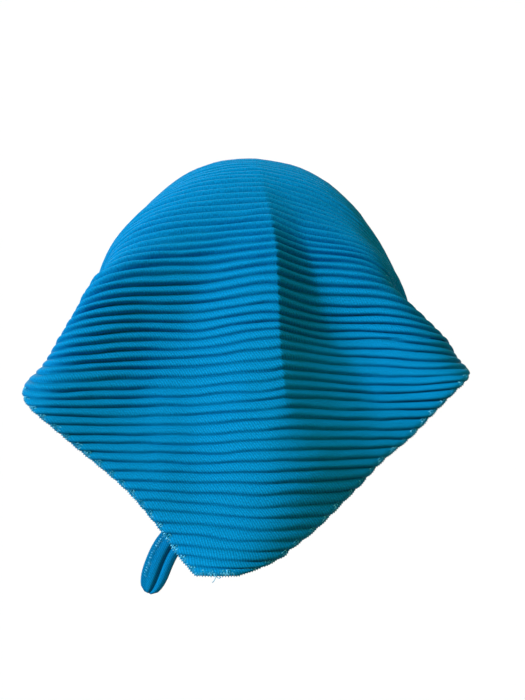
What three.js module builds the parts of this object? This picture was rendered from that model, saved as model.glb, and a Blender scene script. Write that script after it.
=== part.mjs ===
import * as THREE from 'three';

// A triangular pleated headscarf, tied at the nape. Sizes are in millimetres. The wearer faces +Y,
// +X is the wearer's right and +Z is up. The origin is where the inside of the crown rests on the head.

// The cloth and its pleats, counted from the front edge back to the point of the flap
const PLEATS = 63;
const PITCH = 5.2;
const PLEAT_DEPTH = 1.8;
const WALL = 1.5;
const LENGTH = PLEATS * PITCH;
const LIFT = (PLEAT_DEPTH + WALL) / 2;

// The two sides of the triangle: half the width of the cloth, measured along a pleat
const EDGE_SLOPE = 1.04;
const EDGE_START = 15.5;
const TIP_LEFT = 14;
const TIP_RIGHT = 8.5;
const TIP_HEIGHT = 12;

// The tie at the nape: each pleat turns in behind the ears and is gathered between these two heights
const EARS = { y: -12, z: -112 };
const TIE_LOW = { y: -68, z: -156 };
const TIE_HIGH = { y: -80, z: -134 };
const TIE_PLEATED_LENGTH = 105;
const TIE_HALF_GAP = 30;
const TIE_ROUND = { front: 2, back: 1.25, from: 150, to: 215 };

// How finely the cloth is divided
const ROWS_PER_PLEAT = 2;
const CURVE_SAMPLES = 300;
const ROW_SAMPLES = 120;
const BEND_SHARE = 22;
const NORMAL_REACH = 2;
const COLUMNS_BACK = 10;
const COLUMNS_POINT = 4;
const COLUMNS_FROM = 0.6 * LENGTH;

// The hem, the ties, the knot and the tails
const GAP = 0.36;
const HEM_GAP = 0.85;
const HEM_INSET = 8;
const HEM_RADIUS = 1;
const HEM_SIDES = 5;
const HEM_STEPS = 66;
const BUNDLE_SIDES = 20;
const GATHER_FOLDS = 5;
const GATHER_DEPTH = 0.08;
const TAIL_WALL = 1.6;
const TAIL_RIB = 1.0;
const TAIL_RIBS = 3;
const TAIL_STEPS = 10;
const TAIL_COLUMNS = 2 * TAIL_RIBS;

// How far each hem lies beyond a straight cut, by its height above the tip
const HEMS = [
  { up: 0, left: 3, right: 0 },
  { up: 12, left: 3, right: 0 },
  { up: 25, left: 1.5, right: 2 },
  { up: 40, left: -0.5, right: 3.5 },
  { up: 55, left: -0.5, right: 3 },
  { up: 67, left: -1, right: 5 },
  { up: 80, left: -1.5, right: 4 },
  { up: 95, left: 1.5, right: 3 },
  { up: 115, left: 3.5, right: 6 },
  { up: LENGTH, left: 3.5, right: 6 },
];

// Sections across the cloth. at: distance from the front edge along the centre line; x, y, z: the centre
// line there; left, right: how far the cloth stands out; squareLeft, squareRight: how sharply it turns
const SECTIONS = [
  { at: 0, x: 0, y: 80, z: -26, left: 80, right: 80, squareLeft: 2.2, squareRight: 2.2 },
  { at: 45, x: 0, y: 42, z: -3.4, left: 82.5, right: 83.5, squareLeft: 2.25, squareRight: 2.25 },
  { at: 87, x: 0, y: 0, z: -1, left: 87.5, right: 88.5, squareLeft: 2.4, squareRight: 2.2 },
  { at: 120, x: 0, y: -32, z: -10.4, left: 89, right: 91.5, squareLeft: 3.2, squareRight: 2.3 },
  { at: 141, x: 0, y: -50, z: -21, left: 86.5, right: 85, squareLeft: 4.2, squareRight: 3.4 },
  { at: 162, x: -1, y: -65, z: -35, left: 88.5, right: 83.5, squareLeft: 5.6, squareRight: 5.4 },
  { at: 180, x: -3, y: -76, z: -50, left: 91.5, right: 99.5, squareLeft: 7, squareRight: 7 },
  { at: 198, x: -5, y: -85, z: -64, left: 97, right: 114.5, squareLeft: 7.5, squareRight: 7.5 },
  { at: 214, x: -6, y: -95, z: -76, left: 103, right: 122.5, squareLeft: 7.5, squareRight: 7.5 },
  { at: 229, x: -6.5, y: -105, z: -87, left: 112.5, right: 134, squareLeft: 8, squareRight: 8 },
  { at: 260, x: -6, y: -124, z: -111, left: 118, right: 138, squareLeft: 9, squareRight: 9 },
  { at: 292, x: -5, y: -142, z: -137, left: 118, right: 138, squareLeft: 9, squareRight: 9 },
  { at: 312, x: -6.5, y: -155, z: -154, left: 118, right: 138, squareLeft: 9, squareRight: 9 },
  { at: LENGTH, x: -14, y: -165, z: -165.4, left: 118, right: 138, squareLeft: 9, squareRight: 9 },
];

// The pressed fold down the back. crease: how far its ridge lies to the right of the centre line; ridge:
// how high it stands; valley: how deep the cloth dips beside it; steep: the width of its right flank;
// soft: how widely the ridge is rounded
const FOLDS = [
  { at: 0, crease: 5, ridge: 0, valley: 0, steep: 18, soft: 0 },
  { at: 80, crease: 5, ridge: 0, valley: 0, steep: 18, soft: 0 },
  { at: 105, crease: 8, ridge: 1, valley: 1, steep: 18, soft: 0 },
  { at: 125, crease: 10.5, ridge: 3, valley: 3, steep: 18, soft: 0 },
  { at: 141, crease: 12.5, ridge: 5, valley: 4.5, steep: 18, soft: 0 },
  { at: 152, crease: 14.3, ridge: 6.5, valley: 5.5, steep: 19, soft: 0 },
  { at: 169, crease: 16.3, ridge: 8.7, valley: 6, steep: 21, soft: 0 },
  { at: 184, crease: 18.6, ridge: 9.5, valley: 6, steep: 24, soft: 0 },
  { at: 200, crease: 20.5, ridge: 10, valley: 6, steep: 29, soft: 0 },
  { at: 214, crease: 22, ridge: 9.7, valley: 6, steep: 40, soft: 0 },
  { at: 229, crease: 24, ridge: 9, valley: 6, steep: 48, soft: 0 },
  { at: 245, crease: 25, ridge: 7.5, valley: 6.5, steep: 55, soft: 4 },
  { at: 260, crease: 26, ridge: 6, valley: 7, steep: 60, soft: 12 },
  { at: 276, crease: 26, ridge: 4, valley: 5.5, steep: 60, soft: 16 },
  { at: 292, crease: 26, ridge: 2, valley: 4, steep: 60, soft: 18 },
  { at: LENGTH, crease: 26, ridge: 0, valley: 0, steep: 60, soft: 18 },
];
const FOLD_LEFT = 80;
const FLANK_ROUND = 1.4;
const DIP_START = 1.2;
const DIP_WIDTH = 44;
const CREST_SPREAD = [-1, -0.6, -0.2, 0.2, 0.6, 1];

// The wings. flare: how far the left wing stands out from the wearer, about flareMiddle from the centre
// line; hang: how far the right wing falls in; sagLeft, sagRight: how far each side drops
const WINGS = [
  { at: 0, flareMiddle: 45, flare: 0, hang: 0, sagLeft: 0, sagRight: 0 },
  { at: 120, flareMiddle: 45, flare: 1, hang: 0, sagLeft: 0, sagRight: 0 },
  { at: 141, flareMiddle: 50, flare: 6, hang: 1, sagLeft: 0, sagRight: 0 },
  { at: 152, flareMiddle: 52, flare: 11, hang: 3, sagLeft: 0, sagRight: 0 },
  { at: 169, flareMiddle: 58, flare: 18, hang: 5.5, sagLeft: 0, sagRight: 0.5 },
  { at: 184, flareMiddle: 63, flare: 20, hang: 9, sagLeft: 0, sagRight: 1 },
  { at: 200, flareMiddle: 68, flare: 21, hang: 12, sagLeft: 0.5, sagRight: 0.5 },
  { at: 214, flareMiddle: 74, flare: 21, hang: 14.5, sagLeft: 1.2, sagRight: 0 },
  { at: 229, flareMiddle: 79, flare: 21, hang: 16, sagLeft: 2.3, sagRight: -0.5 },
  { at: 245, flareMiddle: 81, flare: 18, hang: 12, sagLeft: 1.8, sagRight: -2 },
  { at: 260, flareMiddle: 79, flare: 9, hang: 6, sagLeft: 0, sagRight: -3 },
  { at: 276, flareMiddle: 76, flare: 1, hang: 2, sagLeft: -2, sagRight: -3.5 },
  { at: 292, flareMiddle: 76, flare: 0, hang: 0, sagLeft: -3, sagRight: -3.5 },
  { at: 312, flareMiddle: 76, flare: 0, hang: 0, sagLeft: -3.6, sagRight: -3.2 },
  { at: LENGTH, flareMiddle: 76, flare: 0, hang: 0, sagLeft: -4, sagRight: -3 },
];

// The flap. leanRight, leanLeft: how steeply each side falls in beyond leanAt from the centre line
const LEANS = [
  { at: 0, leanAt: 26, leanRight: 0, leanLeft: 0 },
  { at: 214, leanAt: 26, leanRight: 0, leanLeft: 0 },
  { at: 229, leanAt: 26, leanRight: 0.02, leanLeft: 0 },
  { at: 245, leanAt: 26, leanRight: 0.15, leanLeft: 0 },
  { at: 260, leanAt: 26, leanRight: 0.3, leanLeft: 0 },
  { at: 276, leanAt: 25, leanRight: 0.45, leanLeft: 0 },
  { at: 292, leanAt: 21, leanRight: 0.6, leanLeft: 0.05 },
  { at: 312, leanAt: 14, leanRight: 0.68, leanLeft: 0.25 },
  { at: LENGTH, leanAt: 8, leanRight: 0.72, leanLeft: 0.4 },
];
const SAG_RUN = 100;
const SAG_END = { from: 130, to: 190 };
const FLARE_HALF = 40;
const HANG_RUN = 75;
const LEAN_BEND = 22;
const FALLING_IN = new THREE.Vector3(0, 0.927, -0.375);

// The gathered ties, from the cloth to the knot. x: distance from the knot's middle; halfHeight and
// halfDepth: the size of the band; drop: how far its middle lies below the middle of the tie
const TIE_RINGS = [
  { x: 29.2, halfHeight: 11.5, halfDepth: 1.6, drop: 0 },
  { x: 23, halfHeight: 9.5, halfDepth: 3.2, drop: 0.5 },
  { x: 17, halfHeight: 7.5, halfDepth: 4.6, drop: 1 },
  { x: 11.8, halfHeight: 6.5, halfDepth: 5, drop: 1.5 },
];
const KNOT_RINGS = [
  { x: -11.4, halfHeight: 5.5, halfDepth: 4, drop: 1.5 },
  { x: -9.5, halfHeight: 9.5, halfDepth: 7, drop: 1.5 },
  { x: -4, halfHeight: 11.5, halfDepth: 9, drop: 1.5 },
  { x: 4, halfHeight: 11.5, halfDepth: 9, drop: 1.5 },
  { x: 9.5, halfHeight: 9.5, halfDepth: 7, drop: 1.5 },
  { x: 11.4, halfHeight: 5.5, halfDepth: 4, drop: 1.5 },
];
const TIE_MIDDLE = { y: (TIE_LOW.y + TIE_HIGH.y) / 2, z: (TIE_LOW.z + TIE_HIGH.z) / 2 };

// The tails' routes, from under the knot to the free end, and half their width on the way
const LEFT_TAIL = [
  { x: -5, y: -74, z: -162.1, half: 5 },
  { x: -20, y: -83, z: -168, half: 6.5 },
  { x: -42, y: -93, z: -184, half: 8.5 },
  { x: -56, y: -100, z: -211, half: 8.5 },
];
const RIGHT_TAIL = [
  { x: 6, y: -75, z: -158.7, half: 5 },
  { x: 7, y: -96, z: -167, half: 6.5 },
  { x: 8, y: -122, z: -173, half: 8 },
];
const TAIL_ROUND = 0.16;
const TAIL_TIP = 0.25;
const TAIL_FACING = new THREE.Vector3(0, -1, 0.3);

const CLOTH = new THREE.MeshStandardMaterial({ color: 0x0b7fb4, roughness: 0.75, metalness: 0 });
const THREAD = new THREE.MeshStandardMaterial({ color: 0x1a93c8, roughness: 0.6, metalness: 0 });

function ease(from, to, value) {
  const t = THREE.MathUtils.clamp((value - from) / (to - from), 0, 1);
  return t * t * (3 - 2 * t);
}

// A smooth curve through the rows of a table, for every column at once
function readTable(table, at, key = 'at') {
  const last = table.length - 1;
  let k = 0;
  while (k < last - 1 && at > table[k + 1][key]) {
    k += 1;
  }
  const slope = (column, i) => {
    const rise = (a, b) => (table[b][column] - table[a][column]) / (table[b][key] - table[a][key]);
    if (i === 0 || i === last) {
      return i === 0 ? rise(0, 1) : rise(last - 1, last);
    }
    const before = table[i][key] - table[i - 1][key];
    const after = table[i + 1][key] - table[i][key];
    return (rise(i - 1, i) * after + rise(i, i + 1) * before) / (before + after);
  };
  const span = table[k + 1][key] - table[k][key];
  const t = THREE.MathUtils.clamp((at - table[k][key]) / span, 0, 1);
  const row = {};
  for (const column of Object.keys(table[0])) {
    const rest = (2 * t - 3) * t * t;
    row[column] = table[k][column] * (1 + rest) - table[k + 1][column] * rest
      + span * t * (1 - t) * (slope(column, k) * (1 - t) - slope(column, k + 1) * t);
  }
  return row;
}

// Half the width of the triangle at a pleat. The tip is cut off blunt, and rounded on its right
function edgeLength(at, side) {
  const up = Math.max(LENGTH - at, TIP_HEIGHT);
  const beyond = readTable(HEMS, up, 'up');
  const straight = EDGE_START + EDGE_SLOPE * up + (side < 0 ? beyond.left : beyond.right);
  const share = Math.min((LENGTH - at) / TIP_HEIGHT, 1);
  if (side < 0) {
    return THREE.MathUtils.lerp(TIP_LEFT, straight, share);
  }
  return THREE.MathUtils.lerp(TIP_RIGHT, straight, share * (2 - share));
}

// The direction into the scarf, square to the centre line
function inward(at) {
  const step = 1;
  const before = readTable(SECTIONS, Math.max(at - step, 0));
  const after = readTable(SECTIONS, Math.min(at + step, LENGTH));
  return new THREE.Vector3(0, before.z - after.z, after.y - before.y).normalize();
}

// The point at a running length along a list of points
function pointAlong(points, runs, run) {
  let k = 1;
  while (k < points.length - 1 && runs[k] < run) {
    k += 1;
  }
  const t = THREE.MathUtils.clamp((run - runs[k - 1]) / (runs[k] - runs[k - 1]), 0, 1);
  return points[k - 1].clone().lerp(points[k], t);
}

function runningLengths(points, share) {
  const runs = [0];
  for (let k = 1; k < points.length; k += 1) {
    runs.push(runs[k - 1] + share(k));
  }
  return runs;
}

// The height of the pressed fold at a distance to the right of its crease
function crest(off, fold) {
  if (off < 0) {
    return fold.ridge * Math.max(1 + off / FOLD_LEFT, 0) ** 2;
  }
  const fall = 1 - (1 - Math.min(off / fold.steep, 1)) ** FLANK_ROUND;
  const dip = DIP_START * fold.steep;
  return fold.ridge - (fold.ridge + fold.valley) * fall + fold.valley * ease(dip, dip + DIP_WIDTH, off);
}

function roundedCrest(off, fold) {
  const heights = CREST_SPREAD.map((share) => crest(off + fold.soft * share, fold));
  return heights.reduce((sum, height) => sum + height, 0) / heights.length;
}

// A slope that sets in softly
function bent(off) {
  const t = THREE.MathUtils.clamp((off + LEAN_BEND) / (2 * LEAN_BEND), 0, 1);
  return off < LEAN_BEND ? 2 * LEAN_BEND * (t ** 3 - t ** 4 / 2) : off;
}

// How far a point of the flap drops, and how far it falls in towards the wearer
function hanging(at, side, run) {
  const wing = readTable(WINGS, at);
  const flap = readTable(LEANS, at);
  const sagging = ease(0, SAG_RUN, run) * (1 - ease(SAG_END.from, SAG_END.to, run));
  const lean = flap.leanRight * bent(side * run - flap.leanAt)
    + flap.leanLeft * bent(-side * run - flap.leanAt);
  if (side < 0) {
    const flare = wing.flare * ease(wing.flareMiddle - FLARE_HALF, wing.flareMiddle + FLARE_HALF, run);
    return { sag: wing.sagLeft * sagging, fallIn: lean - flare };
  }
  const hang = wing.hang * ease(0, HANG_RUN, run) * (1 - ease(SAG_END.from, SAG_END.to, run));
  return { sag: wing.sagRight * sagging, fallIn: lean + hang };
}

// One half of a pleat line, from the centre line out over the side and in to the tie or the hem
function halfRow(at, side) {
  const section = readTable(SECTIONS, at);
  const fold = readTable(FOLDS, at);
  const into = inward(at);
  const width = side < 0 ? section.left : section.right;
  const square = side < 0 ? section.squareLeft : section.squareRight;
  const backward = ease(TIE_ROUND.from, TIE_ROUND.to, at);
  const tieRound = THREE.MathUtils.lerp(TIE_ROUND.front, TIE_ROUND.back, backward);
  const high = at / TIE_PLEATED_LENGTH;
  const tieY = THREE.MathUtils.lerp(TIE_LOW.y, TIE_HIGH.y, high);
  const tieZ = THREE.MathUtils.lerp(TIE_LOW.z, TIE_HIGH.z, high);
  const curve = [];
  for (let k = 0; k <= CURVE_SAMPLES; k += 1) {
    const turn = Math.PI * k / CURVE_SAMPLES;
    const power = 2 / (2 * k < CURVE_SAMPLES ? square : tieRound);
    const across = width * Math.sin(turn) ** power;
    const along = (1 - Math.sign(Math.cos(turn)) * Math.abs(Math.cos(turn)) ** power) / 2;
    const near = (1 - along) ** 2;
    const middle = 2 * along * (1 - along);
    const y = near * section.y + middle * EARS.y + along ** 2 * tieY;
    const z = near * section.z + middle * EARS.z + along ** 2 * tieZ;
    if (along > 0.5 && across < TIE_HALF_GAP) {
      break;
    }
    curve.push(new THREE.Vector3(section.x + side * across, y, z + LIFT));
  }
  const runs = runningLengths(curve, (k) => curve[k].distanceTo(curve[k - 1]));
  const full = runs[runs.length - 1];
  const end = Math.min(edgeLength(at, side), full);
  const points = [];
  for (let k = 0; k <= ROW_SAMPLES; k += 1) {
    const run = end * k / ROW_SAMPLES;
    const { sag, fallIn } = hanging(at, side, run);
    const point = pointAlong(curve, runs, run);
    point.addScaledVector(into, -roundedCrest(side * run - fold.crease, fold));
    point.addScaledVector(FALLING_IN, fallIn);
    point.z -= sag;
    points.push(point);
  }
  return { points, onHem: edgeLength(at, side) < full };
}

// Points shared out along a line by length and by bend, so that sharp turns get more of them
function shareOut(points, count) {
  const leg = (k) => points[k].clone().sub(points[k - 1]);
  const runs = runningLengths(points, (k) => leg(k).length()
    + (k > 1 ? BEND_SHARE * leg(k).angleTo(leg(k - 1)) : 0));
  const total = runs[runs.length - 1];
  return Array.from({ length: count + 1 }, (_, k) => pointAlong(points, runs, total * k / count));
}

// A row of the cloth from its left end to its right end; place runs from -1 to 1
function clothRow(at, i) {
  const back = 1 - ease(COLUMNS_FROM, LENGTH, at);
  const count = Math.round(THREE.MathUtils.lerp(COLUMNS_POINT, COLUMNS_BACK, back));
  const left = halfRow(at, -1);
  const right = halfRow(at, 1);
  const points = [
    ...shareOut(left.points, count).reverse(),
    ...shareOut(right.points, count).slice(1),
  ];
  return {
    points,
    place: points.map((_, k) => k / count - 1),
    onHem: { left: left.onHem, right: right.onHem },
    rib: i % ROWS_PER_PLEAT === 0 ? -PLEAT_DEPTH / 2 : PLEAT_DEPTH / 2,
  };
}

function pointAt(row, place) {
  return pointAlong(row.points, row.place, place);
}

// Finds the outward direction at every point of a sheet, smoothed over the rows beside it, and how close
// its neighbouring rows are
function addNormals(rows) {
  rows.forEach((row, i) => {
    const before = rows[Math.max(i - 1, 0)];
    const after = rows[Math.min(i + 1, rows.length - 1)];
    const steps = rows.indexOf(after) - rows.indexOf(before);
    row.square = [];
    row.spacing = [];
    row.points.forEach((point, k) => {
      const across = row.points[Math.min(k + 1, row.points.length - 1)].clone()
        .sub(row.points[Math.max(k - 1, 0)]).normalize();
      const down = pointAt(after, row.place[k]).sub(pointAt(before, row.place[k]));
      row.square.push(down.clone().cross(across).normalize());
      row.spacing.push(down.addScaledVector(across, -down.dot(across)).length() / steps);
    });
  });
  rows.forEach((row, i) => {
    const near = rows.slice(Math.max(i - NORMAL_REACH, 0), i + NORMAL_REACH + 1);
    row.normals = row.place.map((place) => {
      const sum = new THREE.Vector3();
      near.forEach((other) => sum.add(pointAlong(other.square, other.place, place)));
      return sum.normalize();
    });
  });
}

// Triangles between two rows that may have different numbers of points
function stitchRows(upper, lower) {
  const triangles = [];
  let a = 0;
  let b = 0;
  while (a < upper.place.length - 1 || b < lower.place.length - 1) {
    const nextUpper = a < upper.place.length - 1 ? upper.place[a + 1] : Infinity;
    const nextLower = b < lower.place.length - 1 ? lower.place[b + 1] : Infinity;
    if (nextUpper <= nextLower) {
      triangles.push([upper.first + a, lower.first + b, upper.first + a + 1]);
      a += 1;
    } else {
      triangles.push([upper.first + a, lower.first + b, lower.first + b + 1]);
      b += 1;
    }
  }
  return triangles;
}

// A closed wall on both sides of a sheet of rows; lift(row, k) raises a point along its normal
function closedWall(rows, wall, lift) {
  let total = 0;
  for (const row of rows) {
    row.first = total;
    total += row.points.length;
  }
  const positions = [];
  for (const half of [wall / 2, -wall / 2]) {
    for (const row of rows) {
      row.points.forEach((point, k) => {
        positions.push(...point.clone().addScaledVector(row.normals[k], lift(row, k) + half));
      });
    }
  }
  const index = [];
  for (let i = 1; i < rows.length; i += 1) {
    for (const [a, b, c] of stitchRows(rows[i - 1], rows[i])) {
      index.push(a, b, c, a + total, c + total, b + total);
    }
  }
  const top = rows[0];
  const bottom = rows[rows.length - 1];
  const rim = [
    ...top.points.map((_, k) => top.first + top.points.length - 1 - k),
    ...rows.slice(1).map((row) => row.first),
    ...bottom.points.slice(1).map((_, k) => bottom.first + 1 + k),
    ...rows.slice(0, -1).reverse().map((row) => row.first + row.points.length - 1),
  ];
  for (let k = 1; k < rim.length; k += 1) {
    const a = rim[k - 1];
    const b = rim[k];
    index.push(a, a + total, b, b, a + total, b + total);
  }
  const geometry = new THREE.BufferGeometry();
  geometry.setAttribute('position', new THREE.Float32BufferAttribute(positions, 3));
  geometry.setIndex(index);
  geometry.computeVertexNormals();
  return geometry;
}

// A cord along one hem, just outside the cloth, from the middle of the point up to the tie
function hemCord(rows, side) {
  const bottom = rows[rows.length - 1];
  const above = rows[rows.length - 2];
  const middle = (bottom.points.length - 1) / 2;
  const rim = [];
  for (let k = 0; k < middle; k += 1) {
    const point = bottom.points[middle + side * k].clone();
    point.x += k === 0 ? side * GAP / 2 : 0;
    rim.push({ point, inner: pointAt(above, bottom.place[middle + side * k]) });
  }
  for (const row of [...rows].reverse()) {
    if (side < 0 ? row.onHem.left : row.onHem.right) {
      const inwards = side < 0 ? row.points : [...row.points].reverse();
      const runs = runningLengths(inwards, (k) => inwards[k].distanceTo(inwards[k - 1]));
      rim.push({ point: inwards[0], inner: pointAlong(inwards, runs, HEM_INSET) });
    }
  }
  const path = rim.map(({ point, inner }, k) => {
    const next = rim[Math.min(k + 1, rim.length - 1)].point;
    const along = next.clone().sub(rim[Math.max(k - 1, 0)].point).normalize();
    const out = point.clone().sub(inner);
    out.addScaledVector(along, -out.dot(along)).normalize();
    return point.clone().addScaledVector(out, HEM_GAP + HEM_RADIUS);
  });
  const circle = Array.from({ length: HEM_SIDES }, (_, k) => new THREE.Vector2(HEM_RADIUS, 0)
    .rotateAround(new THREE.Vector2(), 2 * Math.PI * k / HEM_SIDES));
  return new THREE.ExtrudeGeometry(new THREE.Shape(circle), {
    steps: HEM_STEPS,
    extrudePath: new THREE.CatmullRomCurve3(path),
  });
}

// A gathered band of cloth through oval rings; side -1 is its mirror image
function bundle(rings, side) {
  const positions = [];
  const index = [];
  const ringPoint = (ring, turn) => {
    const gather = 1 + GATHER_DEPTH * Math.cos(GATHER_FOLDS * turn);
    const y = TIE_MIDDLE.y + gather * ring.halfDepth * Math.cos(turn);
    const z = TIE_MIDDLE.z + LIFT - ring.drop + gather * ring.halfHeight * Math.sin(turn);
    return [side * ring.x, y, z];
  };
  for (const ring of rings) {
    for (let k = 0; k < BUNDLE_SIDES; k += 1) {
      positions.push(...ringPoint(ring, 2 * Math.PI * k / BUNDLE_SIDES));
    }
  }
  const flip = side * Math.sign(rings[1].x - rings[0].x) > 0;
  const face = (a, b, c) => index.push(...(flip ? [a, b, c] : [a, c, b]));
  for (let i = 0; i < rings.length - 1; i += 1) {
    for (let k = 0; k < BUNDLE_SIDES; k += 1) {
      const a = i * BUNDLE_SIDES + k;
      const b = i * BUNDLE_SIDES + (k + 1) % BUNDLE_SIDES;
      face(a, b, a + BUNDLE_SIDES);
      face(b, b + BUNDLE_SIDES, a + BUNDLE_SIDES);
    }
  }
  const far = (rings.length - 1) * BUNDLE_SIDES;
  for (let k = 1; k < BUNDLE_SIDES - 1; k += 1) {
    face(0, k + 1, k);
    face(far, far + k, far + k + 1);
  }
  const geometry = new THREE.BufferGeometry();
  geometry.setAttribute('position', new THREE.Float32BufferAttribute(positions, 3));
  geometry.setIndex(index);
  geometry.computeVertexNormals();
  return geometry;
}

// A loose end of the tie: a ribbed strip with a round tip
function tail(route) {
  const middles = route.map((stop) => new THREE.Vector3(stop.x, stop.y, stop.z + LIFT));
  const line = new THREE.CatmullRomCurve3(middles);
  const stops = route.map((stop, k) => ({ at: k / (route.length - 1), half: stop.half }));
  const rows = [];
  for (let i = 0; i <= TAIL_STEPS; i += 1) {
    const at = i / TAIL_STEPS;
    const toTip = Math.min((1 - at) / TAIL_ROUND, 1);
    const round = TAIL_TIP + (1 - TAIL_TIP) * Math.sqrt(1 - (1 - toTip) ** 2);
    const half = readTable(stops, at).half * round;
    const across = line.getTangent(at).cross(TAIL_FACING).normalize();
    const middle = line.getPoint(at);
    const place = Array.from({ length: TAIL_COLUMNS + 1 }, (_, k) => 2 * k / TAIL_COLUMNS - 1);
    rows.push({ points: place.map((p) => middle.clone().addScaledVector(across, -p * half)), place });
  }
  addNormals(rows);
  const ribLift = (row, k) => TAIL_RIB / 2 * Math.cos(Math.PI * TAIL_RIBS * row.place[k]);
  return closedWall(rows, TAIL_WALL, ribLift);
}

const openSpacing = PITCH / ROWS_PER_PLEAT;
const rowCount = PLEATS * ROWS_PER_PLEAT + 1;
const cloth = Array.from({ length: rowCount }, (_, i) => clothRow(i * openSpacing, i));
addNormals(cloth);
const pleatLift = (row, k) => row.rib * Math.min(row.spacing[k] / openSpacing, 1);

const PIECES = [
  ['pleated_cloth', closedWall(cloth, WALL, pleatLift), CLOTH],
  ['left_hem', hemCord(cloth, -1), THREAD],
  ['right_hem', hemCord(cloth, 1), THREAD],
  ['left_tie', bundle(TIE_RINGS, -1), CLOTH],
  ['right_tie', bundle(TIE_RINGS, 1), CLOTH],
  ['knot', bundle(KNOT_RINGS, 1), CLOTH],
  ['left_tail', tail(LEFT_TAIL), CLOTH],
  ['right_tail', tail(RIGHT_TAIL), CLOTH],
];

const headscarf = new THREE.Group();
for (const [name, geometry, material] of PIECES) {
  const mesh = new THREE.Mesh(geometry, material.clone());
  mesh.name = name;
  headscarf.add(mesh);
}

export default headscarf;
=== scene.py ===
# %% [markdown]
# # A pleated headscarf, tied at the back
#
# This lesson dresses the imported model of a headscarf: one triangle of permanently pleated cloth in its
# worn form. It lies as a dome over the top, its two long corners are knotted underneath at the back, and
# the third corner hangs down as a flap with two wings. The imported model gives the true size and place
# of every piece. Each cell makes one piece or one finish in the same frame. Sizes and tables are in
# millimetres, and MM turns them into Blender's metres.

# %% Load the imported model
import math

import bpy
import numpy as np
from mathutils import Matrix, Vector, noise


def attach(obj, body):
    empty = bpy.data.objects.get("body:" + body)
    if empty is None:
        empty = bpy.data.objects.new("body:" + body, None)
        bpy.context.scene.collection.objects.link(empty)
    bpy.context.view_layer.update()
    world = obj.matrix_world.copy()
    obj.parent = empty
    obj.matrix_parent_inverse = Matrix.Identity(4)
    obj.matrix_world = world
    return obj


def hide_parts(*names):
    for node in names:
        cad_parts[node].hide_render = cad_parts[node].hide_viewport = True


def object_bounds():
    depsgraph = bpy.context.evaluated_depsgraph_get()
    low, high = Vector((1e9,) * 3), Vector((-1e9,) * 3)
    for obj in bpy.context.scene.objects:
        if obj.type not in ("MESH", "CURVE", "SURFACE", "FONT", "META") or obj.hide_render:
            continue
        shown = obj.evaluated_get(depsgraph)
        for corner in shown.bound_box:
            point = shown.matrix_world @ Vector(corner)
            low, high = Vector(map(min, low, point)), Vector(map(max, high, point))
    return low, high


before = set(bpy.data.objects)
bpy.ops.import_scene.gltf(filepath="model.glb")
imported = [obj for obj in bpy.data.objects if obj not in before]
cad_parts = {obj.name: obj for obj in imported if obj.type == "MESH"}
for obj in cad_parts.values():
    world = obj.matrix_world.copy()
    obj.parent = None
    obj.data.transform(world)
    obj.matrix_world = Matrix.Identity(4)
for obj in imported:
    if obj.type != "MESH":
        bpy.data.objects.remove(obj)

CAD_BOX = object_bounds()
MM = 0.001
print("pieces in the packed model:", sorted(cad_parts))

# %% [markdown]
# ## The camera
#
# The scarf is seen from behind and from above, so the pleats run across the picture and the flap
# points down. A camera can be placed by eye, but here its distance and its focal length follow from
# two facts: how high above the back of the scarf it stands, and how many picture points one
# millimetre takes at the middle of the flap.

# %% Camera
PICTURE = (525, 700)
FLAP_MIDDLE = Vector((0, -74, -98.85)) * MM
FLAP_MIDDLE_POINT = (250, 388)
POINTS_PER_MM = 1.85
CAMERA_ANGLE = math.radians(22)
CAMERA_DISTANCE = 0.85
SENSOR = 36.0


def new_object(name, data):
    thing = bpy.data.objects.new(name, data)
    bpy.context.collection.objects.link(thing)
    return thing


def make_camera():
    data = bpy.data.cameras.new("camera")
    camera = new_object("camera", data)
    focal_points = POINTS_PER_MM * CAMERA_DISTANCE / MM
    data.sensor_width = SENSOR
    data.lens = focal_points * SENSOR / max(PICTURE)
    right = Vector((1, 0, 0))
    ahead = Vector((0, math.cos(CAMERA_ANGLE), -math.sin(CAMERA_ANGLE)))
    up = right.cross(ahead)
    aside = PICTURE[0] / 2 - FLAP_MIDDLE_POINT[0]
    above = FLAP_MIDDLE_POINT[1] - PICTURE[1] / 2
    look = ahead * focal_points + right * aside + up * above
    camera.location = FLAP_MIDDLE - ahead * CAMERA_DISTANCE
    camera.rotation_euler = look.to_track_quat("-Z", "Y").to_euler()
    return camera


bpy.context.scene.camera = make_camera()
print("camera lens, mm:", round(bpy.context.scene.camera.data.lens, 1))

# %% [markdown]
# ## The lie of the cloth
#
# The cloth is a right-angled triangle. Its pleats run parallel to the long front edge, so it is
# described pleat by pleat: the centre line says where each pleat crosses the middle of the dome, and
# each half of a pleat then runs out over the side, bends round under the rim and comes in to the tie,
# or stops earlier at the slanting hem. A cloth simulation could drape it, but would lose the heat-set
# pleats, so tables hold the form. In them, "at" is the distance along the cloth from the front edge.

# %% Sizes
PLEATS = 63
PITCH = 5.2
LENGTH = PLEATS * PITCH
LIFT = 1.65
print("pleated height of the triangle, mm:", LENGTH)

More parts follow.
